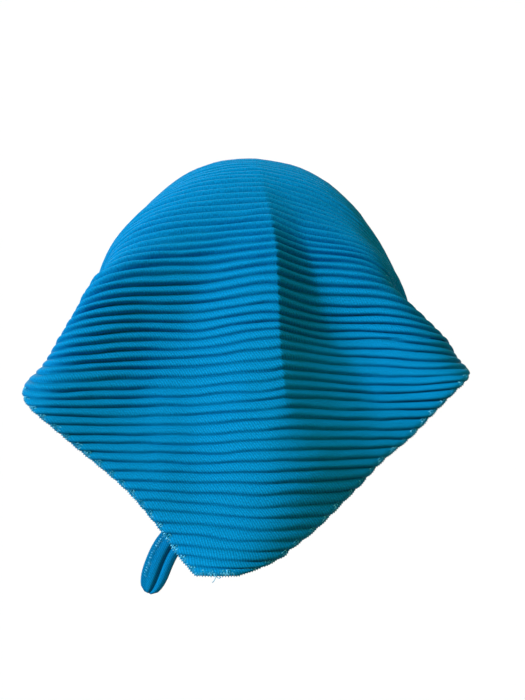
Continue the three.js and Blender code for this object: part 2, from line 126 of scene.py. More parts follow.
# %% Sections
# Columns: at, then the centre line's x, y and z, the reach to the left and right, and the squareness of
# the left and right sides
SECTIONS = [
    (0, 0, 80, -26, 80, 80, 2.2, 2.2),
    (45, 0, 42, -3.4, 82.5, 83.5, 2.25, 2.25),
    (87, 0, 0, -1, 87.5, 88.5, 2.4, 2.2),
    (120, 0, -32, -10.4, 87.5, 91.5, 3.2, 2.3),
    (141, 0, -50, -21, 84, 85, 4.2, 3.4),
    (162, -1, -65, -35, 87.5, 83.5, 5.6, 5.4),
    (180, -3, -76, -50, 91.5, 99.5, 7, 7),
    (198, -5, -85, -64, 97, 114.5, 7.5, 7.5),
    (214, -6, -95, -76, 103, 122.5, 7.5, 7.5),
    (229, -6.5, -105, -87, 112.5, 134, 8, 8),
    (260, -6, -124, -111, 118, 138, 9, 9),
    (292, -5, -142, -137, 118, 138, 9, 9),
    (312, -6.5, -155, -154, 118, 138, 9, 9),
    (LENGTH, -14, -165, -165.4, 118, 138, 9, 9),
]

print("sections along the cloth:", len(SECTIONS))

# %% Reading a table
def ease(start, end, value):
    """A smooth step from 0 at the start to 1 at the end."""
    t = np.clip((value - start) / (end - start), 0, 1)
    return t * t * (3 - 2 * t)


def rise_and_fall(marks, value):
    """Rises from 0 to 1 between the first two marks, and falls back to 0 between the last two."""
    return ease(*marks[:2], value) * (1 - ease(*marks[-2:], value))


def blend(first, second, share):
    return first * (1 - share) + second * share


def read_table(table, at):
    """A smooth curve through the rows of a table, for every column at once."""
    rows = np.array(table, float)
    keys = rows[:, 0]
    spans = np.diff(keys)
    rise = np.diff(rows, axis=0) / spans[:, None]
    before = spans[:-1, None]
    after = spans[1:, None]
    inner = (rise[:-1] * after + rise[1:] * before) / (before + after)
    slope = np.vstack([rise[:1], inner, rise[-1:]])
    k = int(np.clip(np.searchsorted(keys, at) - 1, 0, len(keys) - 2))
    t = np.clip((at - keys[k]) / spans[k], 0, 1)
    rest = (2 * t - 3) * t * t
    bend = slope[k] * (1 - t) - slope[k + 1] * t
    return rows[k] * (1 + rest) - rows[k + 1] * rest + spans[k] * t * (1 - t) * bend


def read_rows(table, places):
    return np.array([read_table(table, at) for at in places])


print("centre line at the crown, mm:", read_table(SECTIONS, 87)[1:4])

# %% [markdown]
# ## The slanting hems
#
# The two short sides of the triangle are the hems. Two straight cuts would do for flat cloth, but the
# worn edge swings in and out by a few millimetres, and its tip is blunt and rounded on the right. So a
# straight slope gives the length of each half pleat, and a small table bends it.

# %% Hems
EDGE_SLOPE = 1.04
EDGE_START = 15.5
TIP_LEFT = 14
TIP_RIGHT = 8.5
TIP_HEIGHT = 12

# Columns: height above the tip, and how far the left and right hems stand out from a straight cut
HEMS = [
    (0, 3, 0),
    (12, 3, 0),
    (25, 1.5, 2),
    (40, -0.5, 3.5),
    (55, -0.5, 3),
    (67, -1, 5),
    (80, -1.5, 4),
    (95, 1.5, 3),
    (115, 3.5, 6),
    (LENGTH, 3.5, 6),
]


def edge_length(at, side):
    """Half the width at a pleat; the tip is cut off blunt, and rounded on its right."""
    up = max(LENGTH - at, TIP_HEIGHT)
    straight = EDGE_START + EDGE_SLOPE * up + read_table(HEMS, up)[1 if side < 0 else 2]
    share = min((LENGTH - at) / TIP_HEIGHT, 1)
    if side < 0:
        return blend(TIP_LEFT, straight, share)
    return blend(TIP_RIGHT, straight, share * (2 - share))


print("half the width at the wings, mm:", [round(edge_length(230, side)) for side in (-1, 1)])

# %% [markdown]
# ## The pressed fold
#
# Stored cloth keeps its fold. This one runs down the back to the right of the middle, with a sharp
# crest: its left flank rises as a parabola, and its right flank drops away at once into a dip. Creasing
# an edge of a smooth surface could give the crest, but the fold grows and fades along the cloth, so a
# table drives it.

# %% Fold
# Columns: at, the crease's distance to the right of the centre line, the height of its ridge, the
# depth of the dip beside it, the width of its steep flank, how far its crest is rounded off, and how
# far the pleats are drawn up to the crease and let down again beyond it
FOLDS = [
    (0, 3, 0, 0, 9, 0, 0, 0),
    (50, 4, 0.3, 0.3, 9, 0, 0, 0),
    (80, 5.5, 0.6, 0.6, 11, 0, 0, 0),
    (105, 8, 1.3, 1.3, 15, 0, 0.5, 0.5),
    (125, 10.5, 3, 3, 18, 0, 0.8, 0.6),
    (141, 12.5, 5, 4.5, 18, 0, 1.4, 1.2),
    (152, 14.3, 6.5, 5.5, 19, 0, 2.1, 1),
    (169, 16.3, 8.7, 6, 21, 0, 3.6, 1.7),
    (184, 18.6, 9.5, 6, 24, 0, 4.2, 2.9),
    (200, 20.5, 10, 6, 29, 0, 3.6, 1.4),
    (214, 22, 9.7, 6, 40, 0, 1.2, -1.5),
    (229, 24, 9, 6, 48, 0, 0, -2.3),
    (245, 25, 7.5, 6.5, 55, 4, 0.4, -1.5),
    (260, 26, 6, 7, 60, 12, 0.5, 0),
    (276, 26, 4, 5.5, 60, 16, -0.6, -0.4),
    (292, 26, 2, 4, 60, 18, -2.4, 0.3),
    (LENGTH, 26, 0, 0, 60, 18, -3.2, 0.5),
]
FOLD_LEFT = 80
FLANK_ROUND = 1.4
DIP_START = 1.2
DIP_WIDTH = 44


def crest(off, ridge, valley, steep):
    """Height of the pressed fold at distances to the right of its crease."""
    left = ridge * np.clip(1 + off / FOLD_LEFT, 0, 1) ** 2
    drop = (ridge + valley) * (1 - (1 - np.clip(off / steep, 0, 1)) ** FLANK_ROUND)
    right = ridge - drop + valley * ease(DIP_START * steep, DIP_START * steep + DIP_WIDTH, off)
    return np.where(off > 0, right, left)


print("highest ridge of the fold, mm:", max(row[2] for row in FOLDS))

# %% [markdown]
# ## The wings
#
# The two sides of the flap stand out as wings. A side sags, flares out again towards its rim, hangs back
# or leans away, as far as a table says at each section. Points could be pulled by hand, but a table can
# be changed and run again.

# %% Wings
# Columns: at, how far the left and right sides sag, where and how far the left wing stands out again
# towards its rim, how far the right wing hangs back, where and how steeply the right side leans away,
# and how steeply the left side does
WINGS = [
    (0, 0, 0, 45, 0, 0, 26, 0, 0),
    (120, 0, 0, 45, 1, 0, 26, 0, 0),
    (141, 0, 0, 50, 6, 1, 26, 0, 0),
    (152, 0, 0, 52, 11, 3, 26, 0, 0),
    (169, 0, 0.5, 58, 18, 5.5, 26, 0, 0),
    (184, 0, 1, 63, 20, 9, 26, 0, 0),
    (200, 0.5, 0.5, 68, 21, 12, 26, 0, 0),
    (214, 1.2, 0, 74, 21, 14.5, 26, 0, 0),
    (229, 2.3, -0.5, 79, 21, 16, 26, 0.02, 0),
    (245, 1.8, -2, 81, 18, 12, 26, 0.15, 0),
    (260, 0, -3, 79, 9, 6, 26, 0.3, 0),
    (276, -2, -3.5, 76, 1, 2, 25, 0.45, 0),
    (292, -3, -3.5, 76, 0, 0, 21, 0.6, 0.05),
    (312, -3.6, -3.2, 76, 0, 0, 14, 0.68, 0.25),
    (LENGTH, -4, -3, 76, 0, 0, 8, 0.72, 0.4),
]
SAG_RUN = (0, 100, 130, 190)
FLARE_HALF = 40
HANG_RUN = (0, 75, 130, 190)
LEAN_BEND = 22
BACK = np.array([0, 0.927, -0.375])


def bent(off):
    """A line that turns smoothly from level to a slope of one."""
    t = np.clip((off + LEAN_BEND) / (2 * LEAN_BEND), 0, 1)
    return np.where(off < LEAN_BEND, 2 * LEAN_BEND * (t ** 3 - t ** 4 / 2), off)


def wing(at, side, run):
    """How far a side sags and how far it lies back, at each run."""
    left_sag, right_sag, flare_middle, flare, hang, lean_at, lean, left_lean = read_table(WINGS, at)[1:]
    sagging = rise_and_fall(SAG_RUN, run)
    back = lean * bent(side * run - lean_at) + left_lean * bent(-side * run - lean_at)
    if side < 0:
        flared = flare * ease(flare_middle - FLARE_HALF, flare_middle + FLARE_HALF, run)
        return left_sag * sagging, back - flared
    return right_sag * sagging, back + hang * rise_and_fall(HANG_RUN, run)


print("widest flare of the left wing, mm:", max(row[4] for row in WINGS))

# %% [markdown]
# ## One pleat line
#
# Half a pleat line is a rounded-square curve that goes from the centre line out over the side, round the
# rim and in to the tie, and ends early where the hem cuts it off. The fold and the wing are then laid
# on it. A circle would be simpler, but worn cloth is square where it leaves the dome for the flap.

# %% Half a pleat line
SIDE_BEND = np.array([-12, -112])
TIE_LOW = np.array([-68, -156])
TIE_HIGH = np.array([-80, -134])
TIE_PLEATED_LENGTH = 105
TIE_HALF_GAP = 30
TIE_ROUND = (2, 1.25)
TIE_ROUND_ROWS = (150, 215)
CREST_SPREAD = (-1, -0.6, -0.2, 0.2, 0.6, 1)
CURVE_SAMPLES = 240
ROW_SAMPLES = 320


def unit(vectors):
    return vectors / np.linalg.norm(vectors, axis=-1)[..., None]


def inward(at):
    before, after = read_rows(SECTIONS, (max(at - 1, 0), min(at + 1, LENGTH)))
    return unit(np.array([0, before[3] - after[3], after[2] - before[2]]))


def running_length(points):
    return np.concatenate([[0], np.cumsum(np.linalg.norm(np.diff(points, axis=0), axis=1))])


def along_line(points, keys, wanted):
    return np.stack([np.interp(wanted, keys, points[:, k]) for k in range(3)], axis=-1)


def half_row(at, side):
    """Half a pleat line from the centre outwards: points in mm, their run, and whether it ends at the hem."""
    x, y, z, left, right, left_square, right_square = read_table(SECTIONS, at)[1:]
    crease, ridge, valley, steep, soft = read_table(FOLDS, at)[1:6]
    square = left_square if side < 0 else right_square
    turn = np.linspace(0, np.pi, CURVE_SAMPLES + 1)
    tie_round = blend(*TIE_ROUND, ease(*TIE_ROUND_ROWS, at))
    power = 2 / np.where(turn < np.pi / 2, square, tie_round)
    across = (left if side < 0 else right) * np.sin(turn).clip(0) ** power
    along = (1 - np.sign(np.cos(turn)) * np.abs(np.cos(turn)) ** power) / 2
    kept = ~((along > 0.5) & (across < TIE_HALF_GAP))
    along, across = along[kept, None], across[kept]
    tie = blend(TIE_LOW, TIE_HIGH, at / TIE_PLEATED_LENGTH)
    yz = (1 - along) ** 2 * np.array([y, z]) + 2 * along * (1 - along) * SIDE_BEND + along ** 2 * tie
    line = np.column_stack([x + side * across, yz[:, 0], yz[:, 1] + LIFT])
    runs = running_length(line)
    hem = edge_length(at, side)
    run = np.linspace(0, min(hem, runs[-1]), ROW_SAMPLES + 1)
    points = along_line(line, runs, run)
    off = side * run - crease
    rounded = [crest(off + soft * share, ridge, valley, steep) for share in CREST_SPREAD]
    points -= np.mean(rounded, axis=0)[:, None] * inward(at)
    sag, back = wing(at, side, run)
    points[:, 2] -= sag
    points += back[:, None] * BACK
    return points, run, bool(hem < runs[-1])


print("length of the front pleat line, mm:", round(half_row(0, 1)[1][-1] * 2))

# %% [markdown]
# ## The smooth sheet
#
# A grid of points is laid over the cloth before any pleat is raised. Rows follow the pleats and
# columns are shared out by length and by bend, so that the sharp turns at the wings get more of them,
# and one column lies exactly along the pressed crease. Points that are spaced evenly would be simpler,
# but they would cut the corners of the wings.

# %% Smooth sheet
COLUMNS_LEFT = 48
COLUMNS_TO_CREASE = 8
COLUMNS_RIGHT = 40
CREASE_LIMIT = 0.6
CREST_HALF = 0.6
BEND_SHARE = 22
SMOOTH_ROWS = 4 * PLEATS


def share_out(points, run, count):
    """Runs that share out a line by length and by bend."""
    legs = unit(np.diff(points, axis=0))
    bend = np.arccos(np.clip((legs[1:] * legs[:-1]).sum(axis=1), -1, 1))
    cost = np.diff(run)
    cost[1:] += BEND_SHARE * bend
    total = np.concatenate([[0], np.cumsum(cost)])
    return np.interp(np.linspace(0, total[-1], count + 1), total, run)


def smooth_row(at):
    """A whole pleat line from left to right: points, signed runs, and whether each end is on the hem."""
    left, left_run, left_hem = half_row(at, -1)
    right, right_run, right_hem = half_row(at, 1)
    crease = min(read_table(FOLDS, at)[1], CREASE_LIMIT * right_run[-1])
    beyond = right_run >= crease + CREST_HALF
    left_shared = share_out(left, left_run, COLUMNS_LEFT)[::-1]
    near_shared = np.linspace(0, crease - CREST_HALF, COLUMNS_TO_CREASE)
    far_shared = share_out(right[beyond], right_run[beyond], COLUMNS_RIGHT - 1)
    right_shared = np.concatenate([near_shared[1:], [crease], far_shared])
    points = np.vstack([along_line(left, left_run, left_shared), along_line(right, right_run, right_shared)])
    return points, np.concatenate([-left_shared, right_shared]), (left_hem, right_hem)


smooth_at = np.linspace(0, LENGTH, SMOOTH_ROWS + 1)
smooth_points, smooth_runs, smooth_hem = map(np.array, zip(*map(smooth_row, smooth_at)))
print("smooth sheet, rows and columns:", smooth_points.shape[:2])

# %% [markdown]
# ## Rows for the pleats, with a little life
#
# Heat-set pleats are regular but never perfect: a groove wanders by a fraction of a millimetre, slips
# towards its neighbour here and there, is drawn up to the pressed fold and let down beyond it, and bends
# at the rims. Each pleat gets eight rows, close together at its lip, and the rows are moved along the
# cloth by all of these. A random number for each point would tear them apart, so smooth noise moves
# them. Blender's own noise has no seed and gives the same value at the same place, so every run is alike.

# %% Smooth noise
WANDER = ((0.65, 44, 13, 3.7), (0.35, 14, 7, 9.1))


def field(layers, run, at):
    """Smooth noise over the cloth, as a sum of layers: size, length along and across the pleats, place."""
    values = np.zeros(run.shape)
    for size, along, across, place in layers:
        spots = zip((run / along).ravel(), (at / across).ravel())
        layer = [noise.noise(Vector((u, v, place))) for u, v in spots]
        values += size * np.array(layer).reshape(run.shape)
    return values


def along_columns(grid, at):
    """Values of a smooth grid at wandering rows, column by column."""
    rows = [np.interp(at[:, k], smooth_at, grid[:, k]) for k in range(grid.shape[1])]
    return np.stack(rows, axis=1)


print("wander at the front edge, mm:", field(WANDER, np.zeros(1), np.zeros(1)).round(2))

# %% Wandering pleat rows
PLEAT_ROWS = (0, 0.09, 0.21, 0.36, 0.53, 0.67, 0.79, 0.9)
DRAW_UP_RUN = (-28, 14)
LET_DOWN_RUN = (10, 40)
SLIP = 0.3
SLIP_SHARPNESS = 5
SLIP_NOISE = ((1, 24, 1, 14.7),)
GROOVE_STEP = 3.1
STILL_ENDS = 10

# Columns: at, and how far the pleats bend down at the left and right rims
RIMS = [
    (0, 0, 0),
    (80, 0, 0),
    (120, 1, 1.5),
    (150, 2, 3),
    (180, 2.6, 4),
    (205, 3, 4.5),
    (220, 1.5, 3),
    (232, -0.2, 0.6),
    (245, -1.5, 0),
    (262, -1, 0),
    (285, 0, 0),
    (LENGTH, 0, 0),
]
RIM_RUNS = ((55, 100), (62, 115))

pleat_count = np.append((np.arange(PLEATS)[:, None] + np.array(PLEAT_ROWS)).ravel(), PLEATS)
row_at = pleat_count * PITCH
rows = len(row_at)
columns = smooth_points.shape[1]
still_at = np.repeat(row_at[:, None], columns, axis=1)
still_runs = along_columns(smooth_runs, still_at)
held = ease(0, STILL_ENDS, still_at) * ease(0, STILL_ENDS, LENGTH - still_at)
draw_up, let_down = read_rows(FOLDS, row_at)[:, 6:].T[..., None]
drawn_at = let_down * ease(*LET_DOWN_RUN, still_runs) - draw_up * ease(*DRAW_UP_RUN, still_runs)
left_rim, right_rim = read_rows(RIMS, row_at)[:, 1:].T[..., None]
drawn_at += left_rim * ease(*RIM_RUNS[0], -still_runs) + right_rim * ease(*RIM_RUNS[1], still_runs)
grooves = np.repeat(GROOVE_STEP * np.arange(PLEATS + 1)[:, None], columns, axis=1)
slips = SLIP * np.tanh(SLIP_SHARPNESS * field(SLIP_NOISE, still_runs[::len(PLEAT_ROWS)], grooves))
above = np.minimum(pleat_count.astype(int), PLEATS - 1)
slip_at = blend(slips[above], slips[above + 1], (pleat_count - above)[:, None])
wander_at = still_at + held * (drawn_at + slip_at + field(WANDER, still_runs, still_at))
sheet_points = np.stack([along_columns(smooth_points[:, :, k], wander_at) for k in range(3)], axis=-1)
sheet_runs = along_columns(smooth_runs, wander_at)
print("pleated sheet, rows and columns:", sheet_points.shape[:2])

# %% [markdown]
# ## The edge of the cloth
#
# Where a hem cuts across the pleats, the end of each pleat stands out as a small lobe, and the stitched
# edge rolls in a little. To the left of the fold the flap sinks into a shallow hollow. All three could be
# sculpted, but moving the grid keeps them exact: the lobes go along the row, the roll and the hollow
# against the outward direction.

# %% Lobes, rolled edge and hollow
LOBE = 0.35
RIPPLE_MEAN = 0.6
EDGE_WIDTH = 5
EDGE_ROLL = 0.6
HOLLOW_DEPTH = 1.7
HOLLOW_RUN = (-43, -22, 4)
HOLLOW_ROWS = (150, 185, 285, 318)

row_direction = unit(np.gradient(sheet_points, axis=1))
outward = unit(np.cross(np.gradient(sheet_points, axis=0), row_direction))
on_hem = np.stack([np.interp(row_at, smooth_at, ends) > 0.5 for ends in smooth_hem.T.astype(float)], axis=1)
near_left = (1 - ease(0, EDGE_WIDTH, sheet_runs - sheet_runs[:, :1])) * on_hem[:, :1]
near_right = (1 - ease(0, EDGE_WIDTH, sheet_runs[:, -1:] - sheet_runs)) * on_hem[:, 1:]
near_hem = np.maximum(near_left, near_right)
lobes = LOBE * (np.sin(np.pi * (pleat_count % 1)) - RIPPLE_MEAN)[:, None]
hollow = rise_and_fall(HOLLOW_RUN, sheet_runs) * rise_and_fall(HOLLOW_ROWS, still_at)
sunk = EDGE_ROLL * near_hem ** 2 + HOLLOW_DEPTH * hollow
sheet_points += row_direction * (lobes * (near_right - near_left))[..., None] - outward * sunk[..., None]
print("rows that end on the hems:", on_hem.sum(axis=0))

# %% [markdown]
# ## How deep each pleat is
#
# The pleats are full over the top and flatter down the flap, where they were pressed. They are deeper at
# the sides and in a patch on the left, shallower where a row turns away round a rim, and flattened at
# the hems and the bottom edge. Two numbers at each point say so: the depth, and how far the pleat is
# pressed. The flank of the fold and the patch on the left open up again. One depth for the whole sheet
# would be simpler, but the scarf would look moulded.

# %% Depth of each pleat
DEPTH_NOISE = ((0.45, 32, 7, 21.3), (0.35, 11, 5.5, 33.9))
SIDE_DEPTH = 0.1
SIDE_RUN = (30, 75)
TURN_DEPTH = 0.45
TURN_SLOPE = (0.2, 0.7)
FLANK_OPEN = 0.7
FLANK_RUN = (16, 24, 28, 46)
PATCH_RUN = (25, 55, 88, 105)
PATCH_ROWS = (140, 165, 225, 250)
PATCH_DEPTH = 0.3
PATCH_OPEN = 0.6
FLAT_BOTTOM = 3.5
FLAT_HEM = 0.55

# Columns: at, depth of the pleats as a share of the full depth, and how far they are pressed flat
DEPTHS = [
    (0, 0.8, 0),
    (60, 0.9, 0),
    (100, 1.4, 0),
    (150, 1.35, 0.1),
    (180, 1.1, 0.4),
    (205, 0.92, 0.85),
    (230, 0.82, 1),
    (260, 0.74, 1),
    (300, 0.66, 1),
    (LENGTH, 0.55, 1),
]

depth_share, pressed_share = read_rows(DEPTHS, row_at)[:, 1:].T[..., None]
patch = rise_and_fall(PATCH_RUN, -sheet_runs) * rise_and_fall(PATCH_ROWS, still_at)
pleat_depth = depth_share * (1 + field(DEPTH_NOISE, sheet_runs, still_at))
pleat_depth *= 1 + SIDE_DEPTH * ease(*SIDE_RUN, np.abs(sheet_runs))
pleat_depth *= blend(TURN_DEPTH, 1, ease(*TURN_SLOPE, np.abs(row_direction[..., 0])))
pleat_depth *= ease(0, FLAT_BOTTOM, LENGTH - still_at) * (1 - FLAT_HEM * near_hem)
pleat_depth *= 1 + PATCH_DEPTH * patch
open_flank = FLANK_OPEN * rise_and_fall(FLANK_RUN, sheet_runs)
pressed = pressed_share.clip(0, 1) * (1 - open_flank) * (1 - PATCH_OPEN * patch)
print("shallowest and deepest pleat, share:", pleat_depth.min().round(2), pleat_depth.max().round(2))

# %% [markdown]
# ## The sheet as a mesh
#
# The grid becomes a mesh. Its points carry four attributes: the count of pleats from the front edge, the
# depth of each pleat, how far it is pressed, and how far the weave is pulled smooth over the crown. A
# UV map could be unwrapped by Blender, but here it is measured along the cloth itself, so that the
# weave follows every fold.

# %% Mesh helpers
def new_piece(name, points, faces, edges=()):
    """A mesh object at the origin, from points in mm."""
    mesh = bpy.data.meshes.new(name)
    mesh.from_pydata((np.asarray(points) * MM).tolist(), edges, faces)
    mesh.update()
    return new_object(name, mesh)


def grid_faces(rows, count, closed=False, looped=False):
    """Quads of a grid; closed joins each row's end to its start, looped the last row to the first."""
    faces = []
    for i in range(rows if looped else rows - 1):
        below = (i + 1) % rows
        for k in range(count if closed else count - 1):
            after = (k + 1) % count
            faces.append((i * count + k, below * count + k, below * count + after, i * count + after))
    return faces


def add_values(mesh, name, values, kind="FLOAT"):
    """Keeps a number or a vector with each point of a mesh."""
    attribute = mesh.attributes.new(name, kind, "POINT")
    part = "value" if kind == "FLOAT" else "vector"
    attribute.data.foreach_set(part, np.asarray(values, np.float32).ravel())


def add_cloth_map(mesh, u, v):
    """A UV map in decimetres of cloth."""
    places = np.stack(np.broadcast_arrays(u, v), axis=-1).reshape(-1, 2) / 100
    corners = np.empty(len(mesh.loops), np.int32)
    mesh.loops.foreach_get("vertex_index", corners)
    layer = mesh.uv_layers.new(name="cloth")
    layer.data.foreach_set("uv", places[corners].astype(np.float32).ravel())


def keep_result(piece):
    """Turns what the modifiers make into the piece's own plain mesh."""
    graph = bpy.context.evaluated_depsgraph_get()
    before = piece.data
    made = bpy.data.meshes.new_from_object(
        piece.evaluated_get(graph), preserve_all_data_layers=True, depsgraph=graph)
    piece.modifiers.clear()
    piece.data = made
    made.name = piece.name
    bpy.data.meshes.remove(before)
    return piece


print("mesh helpers ready")

# %% Sheet mesh
PULLED = (140, 235)

pleated_cloth = new_piece("pleated_sheet", sheet_points.reshape(-1, 3), grid_faces(rows, columns))
add_values(pleated_cloth.data, "pleat", np.repeat(pleat_count[:, None], columns, axis=1))
add_values(pleated_cloth.data, "pleat_depth", pleat_depth)
add_values(pleated_cloth.data, "pressed", pressed)
add_values(pleated_cloth.data, "pulled", 1 - ease(*PULLED, still_at))
add_cloth_map(pleated_cloth.data, sheet_runs, still_at)
print("faces in the smooth sheet:", len(pleated_cloth.data.polygons))

# %% [markdown]
# ## The cloth's finish
#
# The cloth is a fine twill of bright blue-green polyester. Its weave is far too fine to model, so the
# material draws it: a wave pattern on the cloth's own UV map makes the slanting twill lines, a noise
# adds uneven yarn, and a second noise shifts the dye a little over the whole scarf. Over the crown the
# cloth is pulled smooth, so the twill lines fade there. The height of the rib sets two painted marks: the
# groove of each pleat is painted darker, a painted shade where the folds keep light out, and the crest is
# painted lighter, partly rubbed wear and partly a painted highlight.

# %% Node helpers
def set_inputs(tree, node, values):
    """Links each input of a node to the socket that is given for it, or sets its value."""
    for key, value in values.items():
        if isinstance(value, bpy.types.NodeSocket):
            tree.links.new(value, node.inputs[key])
        else:
            node.inputs[key].default_value = value


def add_node(tree, kind, values=None, **settings):
    """A node with its settings and its inputs, by name or by number."""
    node = tree.nodes.new(kind)
    for key, value in settings.items():
        setattr(node, key, value)
    set_inputs(tree, node, values or {})
    return node


def new_material(name):
    material = bpy.data.materials.new(name)
    material.use_nodes = True
    return material, material.node_tree, material.node_tree.nodes["Principled BSDF"]


def add_mix(tree, kind, share, first, second):
    """A colour mix; each of share, first and second is a socket or a value."""
    mix = add_node(tree, "ShaderNodeMix", {0: share, 6: first, 7: second}, data_type="RGBA", blend_type=kind)
    return mix.outputs[2]


def add_range(tree, value, low, high, new_low, new_high):
    """A number carried over from one range to another."""
    node = add_node(tree, "ShaderNodeMapRange", {
        "Value": value, "From Min": low, "From Max": high, "To Min": new_low, "To Max": new_high})
    return node.outputs["Result"]


print("node helpers ready")

# %% Cloth material
DYE = (0.0008, 0.205, 0.5, 1)
# Painted shade: the colour that the grooves are painted towards.
GROOVE_SHADE_COLOUR = (0.0008, 0.125, 0.25, 1)
DYE_GREEN = (0.001, 0.2, 0.44, 1)
# Painted highlight, partly rubbed wear: the colour that the crests are painted towards.
CREST_WEAR_AND_SHEEN = (0.003, 0.265, 0.62, 1)
TWILL_TURN = math.radians(36)
TWILL_SCALE = 27
YARN_SCALE = 140
DYE_SCALE = 16
WEAVE_HEIGHT = 0.15

# Ranges: low and high of what is read, then low and high of what it becomes
UNEVEN_DYE = (0.35, 0.65, 0, 0.5)
GROOVE_SHADE_RANGE = (0, 0.5, 0.7, 0)
CREST_WEAR_AND_SHEEN_RANGE = (0.72, 1, 0, 0.32)
TWILL_FADE = (0, 1, 1, 0.1)
TWILL_LINES = (0, 1, 0.76, 1.19)
YARN_LINES = (0.3, 0.7, 0.74, 1.26)
YARN_ROUGHNESS = (0.3, 0.7, 0.56, 0.72)
WEAVE_RELIEF = (0, 1, 0.35, 0.06)


def make_cloth():
    material, tree, shader = new_material("pleated_twill")
    cloth_map = add_node(tree, "ShaderNodeUVMap", uv_map="cloth").outputs["UV"]
    place = add_node(tree, "ShaderNodeTexCoord").outputs["Object"]
    rib = add_node(tree, "ShaderNodeAttribute", attribute_name="rib").outputs["Fac"]
    pulled = add_node(tree, "ShaderNodeAttribute", attribute_name="pulled").outputs["Fac"]
    turned = add_node(tree, "ShaderNodeMapping", {"Vector": cloth_map, "Rotation": (0, 0, TWILL_TURN)})
    twill = add_node(tree, "ShaderNodeTexWave", {
        "Vector": turned.outputs["Vector"], "Scale": TWILL_SCALE, "Distortion": 2.2, "Detail": 2.0,
        "Detail Scale": 2.5})
    yarn = add_node(tree, "ShaderNodeTexNoise", {"Vector": cloth_map, "Scale": YARN_SCALE, "Detail": 3.0})
    dye = add_node(tree, "ShaderNodeTexNoise", {"Vector": place, "Scale": DYE_SCALE, "Detail": 4.0})
    uneven = add_range(tree, dye.outputs["Fac"], *UNEVEN_DYE)
    # Painted shade: the lower a point lies in its rib, the darker it is painted.
    groove = add_range(tree, rib, *GROOVE_SHADE_RANGE)
    # Painted highlight, partly wear: the crest of each rib is painted lighter.
    crest_wear_and_sheen = add_range(tree, rib, *CREST_WEAR_AND_SHEEN_RANGE)
    clear = add_range(tree, pulled, *TWILL_FADE)
    lines = add_range(tree, twill.outputs["Fac"], *TWILL_LINES)
    threads = add_range(tree, yarn.outputs["Fac"], *YARN_LINES)
    colour = add_mix(tree, "MIX", uneven, DYE, DYE_GREEN)
    colour = add_mix(tree, "MIX", groove, colour, GROOVE_SHADE_COLOUR)
    colour = add_mix(tree, "MIX", crest_wear_and_sheen, colour, CREST_WEAR_AND_SHEEN)
    colour = add_mix(tree, "MULTIPLY", clear, colour, lines)
    colour = add_mix(tree, "MULTIPLY", 1.0, colour, threads)
    weave = add_mix(tree, "ADD", 0.5, twill.outputs["Color"], yarn.outputs["Color"])
    relief = add_range(tree, pulled, *WEAVE_RELIEF)
    bump = add_node(tree, "ShaderNodeBump", {
        "Height": weave, "Strength": relief, "Distance": WEAVE_HEIGHT * MM})
    set_inputs(tree, shader, {
        "Base Color": colour, "Normal": bump.outputs["Normal"],
        "Roughness": add_range(tree, yarn.outputs["Fac"], *YARN_ROUGHNESS),
        "Specular IOR Level": 0.08, "Specular Tint": (0.05, 0.75, 1, 1),
        "Sheen Weight": 0.03, "Sheen Roughness": 0.4, "Sheen Tint": (0.01, 0.7, 1, 1)})
    return material


cloth_finish = make_cloth()
print("cloth finish, nodes:", len(cloth_finish.node_tree.nodes))

# %% [markdown]
# ## Raising the pleats with Geometry Nodes
#
# Every pleat is laid like a roof tile: a band that rises slowly, a lip, and a quick return into the next
# groove. Two sections draw it, a round one for the open pleats over the top, and a pressed one with a
# broad, flat band for the flap. That is a rule, so a Geometry Nodes tree makes it. The tree takes the
# fraction of the pleat count, looks it up in a curve for each section, blends the two by how far the
# pleat is pressed, and moves each point along its own normal. It keeps the height of the rib for the
# finish. A Displace modifier could raise pleats too, but it couldn't follow rows that wander.

# %% Tree helpers
def new_tree(name, sizes):
    """A Geometry Nodes tree with named inputs of the given types: the tree, its inputs and its output."""
    tree = bpy.data.node_groups.new(name, "GeometryNodeTree")
    tree.interface.new_socket("Geometry", in_out="OUTPUT", socket_type="NodeSocketGeometry")
    for key, kind in {"Geometry": "Geometry", **sizes}.items():
        tree.interface.new_socket(key, in_out="INPUT", socket_type="NodeSocket" + kind)
    return tree, tree.nodes.new("NodeGroupInput").outputs, tree.nodes.new("NodeGroupOutput")


def add_tree(piece, tree, values):
    """Puts a tree on a piece and sets its inputs by their identifiers."""
    modifier = piece.modifiers.new(tree.name, "NODES")
    modifier.node_group = tree
    for item in tree.interface.items_tree:
        if item.in_out == "INPUT" and item.name in values:
            modifier[item.identifier] = values[item.name]


def math_node(tree, operation, *values):
    return add_node(tree, "ShaderNodeMath", dict(enumerate(values)), operation=operation).outputs[0]


def read_attribute(tree, name, kind="FLOAT"):
    node = add_node(tree, "GeometryNodeInputNamedAttribute", {"Name": name}, data_type=kind)
    return node.outputs["Attribute"]


def finish_tree(tree, geometry, material, out):
    """The end of every tree: smooth shading, real geometry and the finish."""
    smooth = add_node(tree, "GeometryNodeSetShadeSmooth", {"Geometry": geometry})
    real = add_node(tree, "GeometryNodeRealizeInstances", {"Geometry": smooth.outputs["Geometry"]})
    finish = add_node(tree, "GeometryNodeSetMaterial", {
        "Geometry": real.outputs["Geometry"], "Material": material})
    set_inputs(tree, out, {"Geometry": finish.outputs["Geometry"]})


print("tree helpers ready")

# %% Tree that raises the pleats
PLEAT_DEPTH = 2.1
ROUND_SECTION = ((0, 0), (0.07, 0.05), (0.2, 0.31), (0.35, 0.67), (0.5, 0.93), (0.6, 1),
                 (0.7, 0.92), (0.81, 0.6), (0.91, 0.2), (1, 0))
PRESSED_SECTION = ((0, 0), (0.06, 0.1), (0.15, 0.35), (0.3, 0.67), (0.48, 0.88), (0.62, 0.98),
                   (0.73, 1), (0.83, 0.94), (0.92, 0.56), (1, 0))


